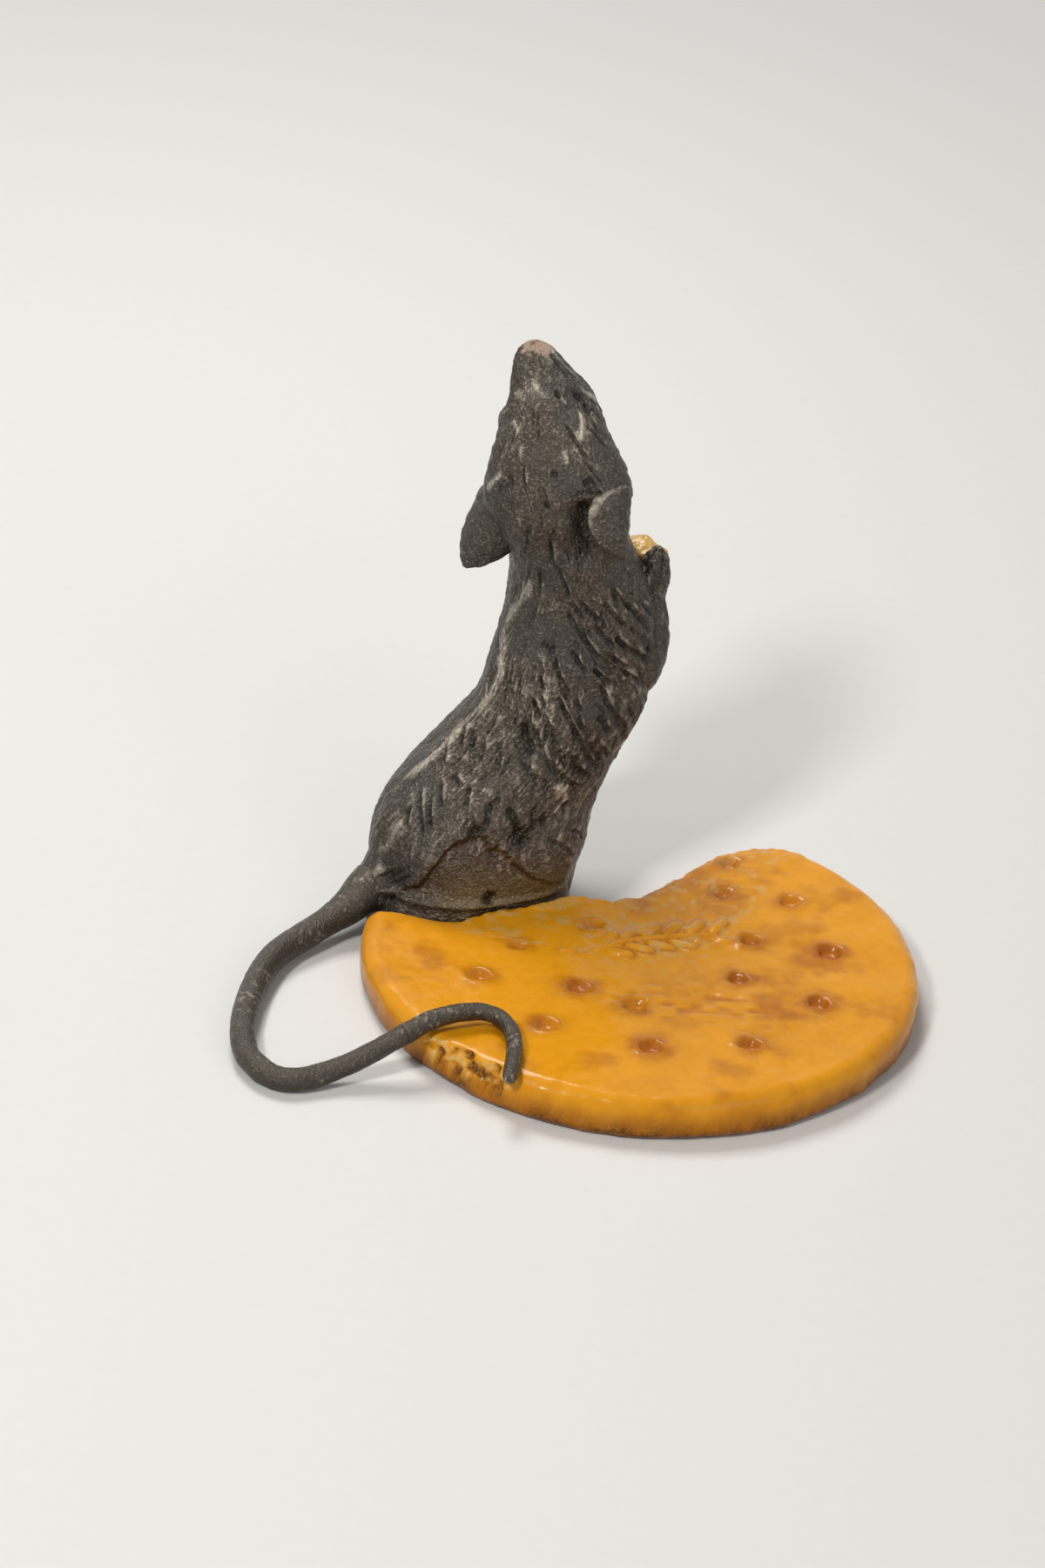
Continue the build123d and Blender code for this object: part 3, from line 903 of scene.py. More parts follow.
            away = np.hypot(aside * half[:, None] / round_share, (up[:, None] - at_height) / up_share)
            reach = reach + rise * self.height * np.exp(-(away**2))
        for swelling in swellings:
            way = self.way(*swelling.way)
            from_centre = middle - self.point(swelling.centre)
            stretch = np.eye(3) / swelling.radius + np.outer(way, way) * (
                1 / swelling.half_length - 1 / swelling.radius
            )
            start = from_centre @ stretch
            run = ray @ stretch
            square = np.sum(run * run, axis=-1)
            cross = np.sum(run * start[:, None], axis=-1)
            spare = cross**2 - square * (np.sum(start * start, axis=-1)[:, None] - 1)
            hit = np.where(spare > 0, (np.sqrt(np.maximum(spare, 0)) - cross) / square, -99.0)
            reach = smooth_larger(hit, reach, swelling.blend)
        return middle[:, None] + ray * reach[..., None], middle


MOUSE = MouseForm()


@dataclass(frozen=True)
class Viewer:
    """The photograph's camera: degrees above the table, millimetres away, its aim, roll and lens."""

    elevation: float = 29.5
    distance: float = 480.0
    aim: tuple[float, float] = (-14.2, 41.2)
    roll: float = 4.9
    lens: float = 94.56
    sensor: float = 36.0
    photo: tuple[int, int] = (1200, 1800)

    def axes(self) -> Array:
        """The camera's own directions.

        Returns:
            Its right, up and back, a row for each.
        """
        tilt = radians(self.elevation)
        turn = radians(self.roll)
        back = np.array([0.0, -cos(tilt), sin(tilt)])
        level = np.array([1.0, 0.0, 0.0])
        up = np.cross(back, level)
        return np.stack([cos(turn) * level + sin(turn) * up, -sin(turn) * level + cos(turn) * up, back])

    def place(self) -> Array:
        """Where the camera stands."""
        return np.array([*self.aim, 0.0]) + self.axes()[2] * self.distance

    def pixels(self, points: Array) -> Array:
        """Where points show on the photograph.

        Args:
            points: any array of points.

        Returns:
            Pixels across and down.
        """
        right, up, back = self.axes()
        away = points - self.place()
        scale = self.lens / self.sensor * self.photo[1] / -(away @ back)
        across = self.photo[0] / 2 + (away @ right) * scale
        down = self.photo[1] / 2 - (away @ up) * scale
        return np.stack([across, down], axis=-1)


@dataclass(frozen=True)
class ToolWork:
    """The tool marks on the mouse, by what they show."""

    spine: MarkSet = MarkSet(
        Cut.RIDGE,
        width=0.75,
        depth=0.24,
        traces=(
            (
                (622, 650), (611, 668), (599, 688), (588, 705), (580, 723), (577, 746), (574, 775),
                (563, 796), (547, 817), (530, 836), (510, 857), (487, 878), (466, 893), (450, 912),
                (436, 936),
            ),
            ((470, 935), (455, 955), (442, 975), (435, 996), (422, 1014)),
        ),
    )
    hip_crease: MarkSet = MarkSet(
        Cut.GROOVE,
        width=0.26,
        depth=0.24,
        traces=(
            ((540, 835), (541, 850), (543, 870), (538, 890)),
        ),
    )
    shoulder_fur: MarkSet = MarkSet(
        Cut.TUFT,
        width=0.21,
        depth=0.25,
        traces=(
            ((650, 700), (665, 725), (682, 745)),
            ((655, 690), (672, 712)),
            ((665, 690), (692, 715)),
            ((640, 655), (650, 675), (655, 690)),
            ((692, 690), (723, 722)),
            ((702, 675), (729, 702)),
            ((719, 690), (747, 718)),
            ((681, 715), (706, 743)),
            ((706, 733), (743, 759)),
            ((727, 702), (747, 727)),
            ((749, 693), (759, 711)),
            ((694, 747), (723, 769)),
            ((671, 735), (692, 759)),
            ((743, 741), (750, 757)),
            ((706, 765), (737, 784)),
            ((682, 767), (704, 787)),
            ((655, 745), (676, 775)),
            ((640, 770), (655, 800)),
        ),
    )
    flank_fur: MarkSet = MarkSet(
        Cut.TUFT,
        width=0.22,
        depth=0.24,
        traces=(
            ((610, 830), (625, 870), (640, 890)),
            ((622, 815), (640, 860), (655, 885)),
            ((640, 800), (655, 830), (665, 850)),
            ((655, 830), (670, 860), (685, 885)),
            ((670, 845), (690, 875)),
            ((680, 850), (700, 870)),
            ((590, 845), (605, 880), (620, 900)),
            ((630, 870), (650, 895), (668, 905)),
            ((660, 880), (680, 895)),
            ((685, 820), (700, 845)),
            ((612, 800), (620, 825)),
            ((650, 860), (668, 890)),
            ((692, 801), (712, 831)),
        ),
    )
    flank_furrow: MarkSet = MarkSet(
        Cut.GROOVE,
        width=0.4,
        depth=0.45,
        traces=(
            ((600, 825), (603, 850), (612, 870)),
        ),
    )
    rump_fur: MarkSet = MarkSet(
        Cut.TUFT,
        width=0.26,
        depth=0.26,
        traces=(
            ((482, 900), (483, 940), (487, 960)),
            ((495, 910), (496, 960)),
            ((505, 895), (507, 930)),
            ((520, 890), (530, 905)),
            ((540, 900), (535, 930)),
            ((470, 925), (468, 950)),
        ),
    )
    rump_furrows: MarkSet = MarkSet(
        Cut.GROOVE,
        width=0.3,
        depth=0.34,
        traces=(
            ((565, 918), (560, 940), (555, 955)),
            ((583, 925), (590, 942), (598, 962)),
            ((612, 925), (613, 955)),
            ((622, 935), (624, 950)),
        ),
    )
    knee_ridge: MarkSet = MarkSet(
        Cut.RIDGE,
        width=0.34,
        depth=0.34,
        traces=(
            ((636, 900), (645, 908), (655, 922)),
        ),
    )
    knee_furrow: MarkSet = MarkSet(
        Cut.GROOVE,
        width=0.3,
        depth=0.25,
        traces=(
            ((645, 932), (650, 930)),
        ),
    )
    haunch_wedges: MarkSet = MarkSet(
        Cut.PIT,
        width=0.62,
        depth=0.55,
        traces=(
            ((545, 955),),
            ((592, 958),),
            ((600, 965),),
        ),
    )
    tail_root_fan: MarkSet = MarkSet(
        Cut.GROOVE,
        width=0.2,
        depth=0.18,
        traces=(
            ((428, 1018), (480, 990)),
            ((428, 1023), (480, 1002)),
            ((439, 1035), (470, 1020)),
            ((430, 1008), (455, 1000)),
        ),
    )
    face_furrows: MarkSet = MarkSet(
        Cut.GROOVE,
        width=0.24,
        depth=0.22,
        traces=(
            ((598, 399), (590, 415), (587, 434)),
            ((640, 448), (641, 458)),
            ((679, 485), (688, 500)),
            ((630, 406), (645, 422), (656, 436)),
        ),
    )
    face_ridges: MarkSet = MarkSet(
        Cut.RIDGE,
        width=0.36,
        depth=0.2,
        traces=(
            ((627, 399), (639, 412), (670, 437)),
            ((590, 452), (603, 450)),
            ((610, 440), (625, 455)),
            ((643, 455), (652, 465)),
            ((665, 470), (668, 490), (665, 510)),
            ((590, 480), (597, 500)),
            ((600, 510), (597, 530)),
            ((645, 515), (655, 535)),
        ),
    )
    eye_slit: MarkSet = MarkSet(
        Cut.GROOVE,
        width=0.34,
        depth=0.5,
        traces=(
            ((655, 448), (669, 458), (675, 470), (678, 480)),
        ),
    )
    eyelid: MarkSet = MarkSet(
        Cut.RIDGE,
        width=0.38,
        depth=0.34,
        traces=(
            ((664, 445), (682, 457), (687, 476)),
        ),
    )
    ear_root_furrow: MarkSet = MarkSet(
        Cut.GROOVE,
        width=0.5,
        depth=0.24,
        traces=(
            ((569, 566), (581, 556), (589, 546)),
        ),
    )
    ear_root_ridge: MarkSet = MarkSet(
        Cut.RIDGE,
        width=0.34,
        depth=0.3,
        traces=(
            ((559, 563), (579, 541)),
        ),
    )
    casting_pits: MarkSet = MarkSet(
        Cut.PIT,
        width=0.3,
        depth=0.34,
        traces=(
            ((636, 544),),
            ((627, 580),),
            ((649, 924),),
        ),
    )
    solder_pits: MarkSet = MarkSet(
        Cut.PIT,
        width=0.26,
        depth=0.3,
        traces=(
            ((665, 567),),
            ((672, 566),),
            ((679, 565),),
            ((687, 565),),
            ((624, 740),),
            ((628, 742),),
            ((633, 745),),
        ),
    )
    large_pits: MarkSet = MarkSet(
        Cut.PIT,
        width=0.52,
        depth=0.5,
        traces=(
            ((676, 555),),
            ((671, 583),),
        ),
    )
    # Besides its pit, the neck hollow is darkened in colour as painted shade beside the ear.
    neck_hollow: MarkSet = MarkSet(
        Cut.PIT,
        width=1.7,
        depth=1.0,
        traces=(
            ((671, 596), (673, 615), (674, 630)),
        ),
    )
    neck_wrinkles: MarkSet = MarkSet(
        Cut.TUFT,
        width=0.3,
        depth=0.11,
        traces=(
            ((700, 575), (712, 590), (720, 580)),
            ((640, 600), (632, 625), (636, 650), (650, 665)),
            ((610, 600), (606, 625), (600, 650)),
        ),
    )
    back_fur: MarkSet = MarkSet(
        Cut.TUFT,
        width=0.24,
        depth=0.2,
        traces=(
            ((600, 660), (596, 690)),
            ((620, 655), (618, 685)),
            ((575, 720), (573, 745)),
            ((560, 770), (556, 800)),
            ((590, 760), (585, 790)),
            ((615, 760), (612, 785)),
            ((535, 830), (528, 860)),
            ((555, 850), (550, 880)),
            ((515, 850), (508, 880)),
            ((575, 850), (572, 885)),
        ),
    )
    vent_hole: MarkSet = MarkSet(
        Cut.PIT,
        width=0.52,
        depth=1.3,
        traces=(
            ((562, 1032),),
        ),
    )

    def sets(self) -> list[MarkSet]:
        """All the sets of marks."""
        return list(vars(self).values())


@dataclass
class MouseCasting:
    """The body and the head, worked as one surface and parted at the shoulders.

    The haunch's edge is a run of degrees round and millimetres up. A patch, where the fur is worn
    smooth, is degrees round, millimetres up and a size.
    """

    form: MouseForm = MOUSE
    viewer: Viewer = Viewer()
    tool_work: ToolWork = ToolWork()
    columns: int = 420
    body_rings: int = 215
    head_rings: int = 210
    shoulder_row: float = 8.0
    swellings: tuple[Swelling, ...] = (
        Swelling((0.041, -0.055, 0.060), (0.95, 0.32, 0.0), 9.5, 6.0, 1.2),
        Swelling((0.155, 0.057, 0.098), (0.6, 0.0, 0.8), 7.5, 5.3, 1.2),
        Swelling((0.155, 0.057, -0.114), (0.6, 0.0, 0.8), 7.5, 5.3, 1.2),
        Swelling((0.088, -0.150, -0.027), (1.0, 0.0, 0.42), 6.4, 2.8, 3.0),
    )
    body_fur: float = 0.105
    head_fur: float = 0.06
    swell: float = 0.13
    head_swell_more: float = 0.10
    dab: float = 0.06
    cast_grain: float = 0.06
    rim_rise: float = 0.45
    haunch_rise: float = 0.62
    toe_line_rise: float = 0.38
    toe_line_level: float = 5.4
    nose_edge: tuple[float, float] = (60.15, 60.5)
    # How strongly a painted reflection of the biscuit's yellow shows low on the body beside it.
    painted_biscuit_glow: float = 0.09
    haunch_edge: tuple[tuple[float, float], ...] = (
        (196, 6.0),
        (208, 7.4),
        (215.5, 9.7),
        (218.5, 11.3),
        (222, 12.3),
        (228.5, 13.1),
        (236, 13.1),
        (241, 11.9),
        (245, 12.1),
        (253.5, 10.8),
        (264.5, 8.8),
        (276, 7.6),
        (292, 7.0),
    )
    patches: tuple[tuple[float, float, float], ...] = (
        (205.5, 49.6, 1.6),
        (189.0, 32.6, 2.4),
        (217.0, 33.0, 1.8),
    )
    eye_row: int = 14
    eye_ahead: float = -0.25
    eye_side: float = 0.80
    eye_half_length: float = 1.6
    eye_radius: float = 1.4
    eye_blend: float = 0.6

    def eyes(self) -> tuple[Swelling, ...]:
        """The eyes as swellings of the head, one to each side of its section at their level.

        Returns:
            The two swellings.
        """
        up, forward, across, half, ratio, twist, _ = self.form.sections[self.eye_row]
        turn = radians(twist)
        ahead = self.eye_ahead * half * ratio
        found = []
        for side in (-self.eye_side * half, self.eye_side * half):
            centre = (
                up,
                forward + ahead * cos(turn) + side * sin(turn),
                across - ahead * sin(turn) + side * cos(turn),
            )
            upright = (0.0, 0.0, 1.0)
            found.append(Swelling(centre, upright, self.eye_half_length, self.eye_radius, self.eye_blend))
        return tuple(found)

    def traced_marks(self, swellings: tuple[Swelling, ...]) -> list[Mark]:
        """The tool work, each trace of it laid on the skin.

        Args:
            swellings: the swellings of the skin.

        Returns:
            The marks.
        """
        sets = self.tool_work.sets()
        pixels = [pixel for alike in sets for trace in alike.traces for pixel in trace]
        placed = iter(self.form.traced(np.array(pixels, float), self.viewer, swellings).tolist())
        marks = []
        for alike in sets:
            for trace in alike.traces:
                run = tuple(tuple(next(placed)) for _ in trace)
                marks.append(Mark(run, alike.width, alike.depth, alike.cut))
        return marks

    def foot_relief(self, points: Array, turn: Array) -> Array:
        """How far the rim at the table, the haunch over its edge and the line over the rim stand out.

        Args:
            points: the smooth skin.
            turn: degrees round at each grid place.

        Returns:
            Millimetres outwards at each grid place.
        """
        height = points[..., 2]
        rim = self.rim_rise * np.exp(-(((height - 0.7) / 0.8) ** 2))
        at_edge, level = np.array(self.haunch_edge).T
        above = height - np.interp(turn, at_edge, level) - 0.35 * layered_noise(points / 1.5, 17)
        haunch_side = soft_step(turn, 192.0, 206.0) * soft_step(296.0 - turn, 0.0, 14.0)
        haunch = self.haunch_rise * soft_step(above, -0.45, 0.35) * soft_step(8.0 - above, 0.0, 8.0)
        viewer_side = soft_step(turn, 168.0, 182.0) * soft_step(300.0 - turn, 0.0, 14.0)
        toe_line = self.toe_line_rise * np.exp(-(((height - self.toe_line_level) / 0.45) ** 2))
        return rim + haunch * haunch_side + toe_line * viewer_side

    def hair_relief(self, points: Array, turn: Array, girth: Array) -> Array:
        """The fine fur, whose strands lean away from the spine on their way down.

        Args:
            points: the smooth skin.
            turn: degrees round at each grid place.
            girth: millimetres to a degree at each grid place.

        Returns:
            About -1 to 1 at each grid place.
        """
        height = points[..., 2]
        drift = turn * girth + np.sin(np.radians(turn - 180)) * 0.65 * height
        spine = (turn - 180) / 90
        hair = 0.5 - np.abs(noise(np.stack([drift / 0.62, height / 2.3, spine], axis=-1), 5))
        hair += 0.7 * noise(np.stack([drift / 0.30, height / 1.2, spine], axis=-1), 9)
        return hair + 0.5 * noise(points / 0.30, 15)

    def calm_share(self, points: Array, turn: Array, girth: Array) -> Array:
        """How smooth the fur lies: in blotches, close to the table and on the worn patches.

        Args:
            points: the smooth skin.
            turn: degrees round at each grid place.
            girth: millimetres to a degree at each grid place.

        Returns:
            0 to 1 at each grid place.
        """
        height = points[..., 2]
        calm = 0.8 * soft_step(layered_noise(points / 6.5, 41), 0.05, 0.55)
        calm = np.maximum(calm, 0.9 * soft_step(10.5 - height, 0.0, 2.5))
        for at_turn, at_height, size in self.patches:
            across = ((turn - at_turn + 180) % 360 - 180) * girth
            calm = np.maximum(calm, np.exp(-((np.hypot(across, height - at_height) / size) ** 4)))
        return calm

    def worked(self, rows: Array) -> tuple[Array, dict[str, Array]]:
        """The skin with its marks, its fur and its pits, and the masks for the finish.

        Args:
            rows: fractional numbers of the sections.

        Returns:
            The points and the named masks.
        """
        turns = np.arange(self.columns) * 360 / self.columns
        swellings = self.swellings + self.eyes()
        points, middle = self.form.skin(rows, turns, swellings)
        turn = np.broadcast_to(turns[None, :], points.shape[:2])
        height = points[..., 2]
        radius = np.linalg.norm(points - middle[:, None], axis=-1)
        girth = np.broadcast_to(radius.mean(axis=1)[:, None] * pi / 180, turn.shape)
        marks = self.traced_marks(swellings)
        broad = mark_relief(turn, height, girth, [mark for mark in marks if mark.width > 1])
        marks = [mark for mark in marks if mark.width <= 1]
        marks += coat_strokes(seed=7, count=190, turns=(0.0, 360.0), levels=(12.0, 44.0), girth=0.14)
        marks += coat_strokes(seed=11, count=90, turns=(0.0, 360.0), levels=(42.0, 58.0), girth=0.10)
        marks += coat_strokes(seed=13, count=110, turns=(205.0, 300.0), levels=(19.0, 38.0), girth=0.14)
        cuts = mark_relief(turn, height, girth, marks)
        foot = broad + self.foot_relief(points, turn)
        hair = self.hair_relief(points, turn, girth)
        lumps = layered_noise(points / 3.2, 21)
        cast = layered_noise(points / 0.65, 33)
        calm = self.calm_share(points, turn, girth)
        fur = self.body_fur + (self.head_fur - self.body_fur) * soft_step(height, 28.0, 40.0)
        swell = (self.swell + self.head_swell_more * soft_step(height, 36.0, 44.0)) * lumps
        dabs = self.dab * layered_noise(points / 1.7, 35)
        relief = cuts + foot + hair * fur * (1 - 0.7 * calm) + swell + dabs + self.cast_grain * cast
        points = points + grid_normals(points) * relief[..., None]
        points[..., 2] = np.maximum(points[..., 2], 0.0)
        # The broad pits, the neck hollow among them, darken the paint further through this mask as painted
        # shade.
        proud = (relief - foot - swell) / 0.18 + 0.9 * np.minimum(broad, 0)
        tan = 0.85 * soft_step(points[..., 2] + 0.5 * layered_noise(points / 0.7, 3), *self.nose_edge)
        # Where the painted reflection of the biscuit falls, low on the body beside it.
        glow_zone = soft_step(11.5 - height, 0.0, 5.0) * soft_step(turn, 205.0, 235.0)
        fields = {
            "proud": np.clip(proud, -1, 1),
            "smooth": 0.55 * calm * soft_step(height, 5.0, 13.0),
            "tan": tan,
            # On the body this mask holds the painted reflection of the biscuit.
            "brass": self.painted_biscuit_glow * glow_zone,
        }
        return points, fields

    def make(self, shop: Workshop, biscuit: "Biscuit") -> None:
        """Builds the body and the head beside the biscuit.

        Args:
            shop: the finishes.
            biscuit: the biscuit that the body stands against.
        """
        last = len(self.form.sections) - 1
        low = np.linspace(0, self.shoulder_row, self.body_rings)
        high = np.linspace(self.shoulder_row, last, self.head_rings)
        points, fields = self.worked(np.concatenate([low, high[1:]]))
        points = biscuit.keep_beside(points)
        points[0, :, 2] = 0.0
        normals = grid_normals(points)
        for name, node, window in (
            ("body_cast", "body", slice(0, self.body_rings)),
            ("head_cast", "head", slice(self.body_rings - 1, None)),
        ):
            masks = {label: values[window] for label, values in fields.items()}
            thing = tube_mesh(name, points[window], masks, normals[window])
            shop.place(thing, node, CastPaint("mouse_paint"))


@dataclass
class Ear:
    """A curled leaf that hangs from the side of the head, thick at its root."""

    node: str
    centre: Point
    long_way: Point
    face_way: Point
    length: float = 11.8
    width: float = 7.6
    thickness: float = 1.3
    curl: float = 1.6
    root: float = 4.6
    fold: float = 0.6
    point: float = 0.30
    brass: float = 0.0
    rings: int = 90
    columns: int = 96

    def make(self, shop: Workshop) -> None:
        """Builds the ear: a lens-shaped section, bent about the ear's length, that narrows to the tip.

        The section's depth is the leaf's thickness times the sine of the place round it, less the
        curl times the square of the place across and the fold times its cube.

        Args:
            shop: the finishes.
        """
        middle = MOUSE.point(self.centre)
        along = MOUSE.way(*self.long_way)
        face = MOUSE.way(*self.face_way)
        face = unit(face - along * np.dot(face, along))
        across = np.cross(face, along)
        part = np.linspace(0, 1, self.rings)
        place = (np.sin((part - 0.5) * pi) / 2) * self.length
        leaf = np.sqrt(np.maximum(1 - (2 * place / self.length) ** 2, 1e-4))
        angle = np.linspace(0, FULL_TURN, self.columns, endpoint=False)
        taper = leaf * (1.12 - 0.34 * part - self.point * part**4)
        side = taper[:, None] * self.width / 2 * np.cos(angle)[None, :]
        thick = self.thickness / 2 * (0.75 + self.root * (1 - part) ** 2.5) * np.sqrt(leaf)
        part_across = 2 * side / self.width
        bent = self.curl * part_across**2 + self.fold * part_across**3
        depth = thick[:, None] * np.sin(angle)[None, :] - bent
        points = (
            middle
            + place[:, None, None] * along
            + side[..., None] * across
            + depth[..., None] * face
        )
        rough = layered_noise(points / 0.6, 59)
        lumps = 0.16 * layered_noise(points / 1.6, 55) + 0.09 * rough
        points = points + grid_normals(points) * lumps[..., None]
        edge = np.abs(part_across) / leaf[:, None]
        fields = {
            # The leaf's rim counts as proud, so it takes the worn paint and painted highlight.
            "proud": np.clip(0.5 * rough + 0.7 * soft_step(edge, 0.86, 1.0), -1, 1),
            "smooth": np.full(side.shape, 0.2),
            "tan": np.zeros(side.shape),
            "brass": self.brass
            * np.exp(-(((part_across - 0.32 + 0.08 * rough) / 0.12) ** 2))
            * np.exp(-(((part - 0.58) / 0.14) ** 2))[:, None],
        }
        thing = tube_mesh(self.node + "_leaf", points, fields)
        shop.place(thing, self.node, CastPaint("mouse_paint"))


@dataclass
class Foreleg:
    """A forearm folded against the chest, with a paw of three fingers."""

    node: str
    sign: int
    route: tuple[Point, ...] = (
        (0.400, 0.232, 0.100),
        (0.412, 0.244, 0.102),
        (0.440, 0.266, 0.102),
        (0.482, 0.292, 0.091),
        (0.528, 0.309, 0.072),
        (0.563, 0.317, 0.058),
        (0.590, 0.323, 0.051),
        (0.614, 0.329, 0.049),
        (0.634, 0.334, 0.048),
        (0.652, 0.338, 0.047),
    )
    radii: tuple[float, ...] = (0.3, 1.3, 2.2, 2.3, 2.1, 1.75, 1.85, 1.7, 1.3, 0.5)
    wrist: float = 6.0
    middle: float = -0.008

    def make(self, shop: Workshop) -> None:
        """Builds the foreleg as a round section carried along its route, cleft into fingers at its end.

        Args:
            shop: the finishes.
        """
        shares = np.array(self.route)
        if self.sign < 0:
            shares[:, 2] = 2 * self.middle - shares[:, 2]
        points = np.array([MOUSE.point(tuple(row)) for row in shares])
        at = np.linspace(0, len(points) - 1, 90)
        path = spline(points, at)
        radius = np.maximum(spline(np.array(self.radii)[:, None], at)[:, 0], 0.2)
        angle = np.linspace(0, FULL_TURN, 72, endpoint=False)
        fingers = soft_step(at, self.wrist, self.wrist + 1.5)
        clefts = 0.42 * fingers[:, None] * np.abs(np.cos(2 * angle)) ** 6
        section = radius[:, None] * (1 - clefts)
        rings = carried_profile(
            path, tuple(MOUSE.way(0, 1, 0)), section * np.cos(angle), section * np.sin(angle)
        )
        rough = layered_noise(rings / (0.5, 0.5, 1.6), 71)
        worked = 0.15 * rough + 0.12 * layered_noise(rings / 2.0, 73)
        rings = rings + grid_normals(rings) * worked[..., None]
        fields = {
            "proud": np.clip(rough, -1, 1),
            "smooth": np.full(rough.shape, 0.1),
            "tan": np.zeros(rough.shape),
            "brass": np.zeros(rough.shape),
        }
        thing = tube_mesh(self.node + "_arm", rings, fields)
        shop.place(thing, self.node, CastPaint("mouse_paint"))


@dataclass
class HindFoot:
    """A long hind foot that reaches out from under the thigh."""

    node: str
    sign: int
    place: Point = (0.0, 0.131, 0.164)
    length: float = 8.0
    width: float = 3.6
    height: float = 1.6
    middle: float = -0.008

    def make(self, shop: Workshop) -> None:
        """Builds the foot: a low arched section carried along the sole, parted into toes at its end.

        Args:
            shop: the finishes.
        """
        up, forward, side = self.place
        if self.sign < 0:
            side = 2 * self.middle - side
        centre = MOUSE.point((up, forward, side))
        way = MOUSE.way(1, 0.35 * self.sign, 0)
        part = np.linspace(0, 1, 90)
        place = -self.length / 2 + part * (self.length + 1.5)
        path = centre + place[:, None] * way
        angle = np.linspace(0, FULL_TURN, 96, endpoint=False)
        form = np.sqrt(np.clip(1 - (2 * part - 1) ** 4, 0.001, 1))
        toes = soft_step(part, 0.6, 0.95)[:, None] * 0.35 * np.abs(np.sin(2 * angle))[None, :]
        half = (self.width / 2 * form)[:, None] * np.cos(angle)[None, :]
        arch = np.maximum(np.sin(angle), 0)[None, :] * (1 - toes)
        rise = (self.height * (1 - 0.35 * part) * form)[:, None] * arch
        rings = path[:, None] + half[..., None] * np.cross(way, (0, 0, 1.0)) * -1.0
        rings[..., 2] = rise
        rings = rings[:, ::-1]
        rough = layered_noise(rings / 0.8, 81)
        rings[..., 2] += 0.05 * np.abs(rough) * (rings[..., 2] > 0.1)
        rings[..., 2] = np.maximum(rings[..., 2], 0.0)
        fields = {
            "proud": np.clip(rough, -1, 1),
            "smooth": np.full(rough.shape, 0.1),
            "tan": np.zeros(rough.shape),
            "brass": np.zeros(rough.shape),
        }
        thing = tube_mesh(self.node + "_cast", rings, fields)
        shop.place(thing, self.node, CastPaint("mouse_paint"))


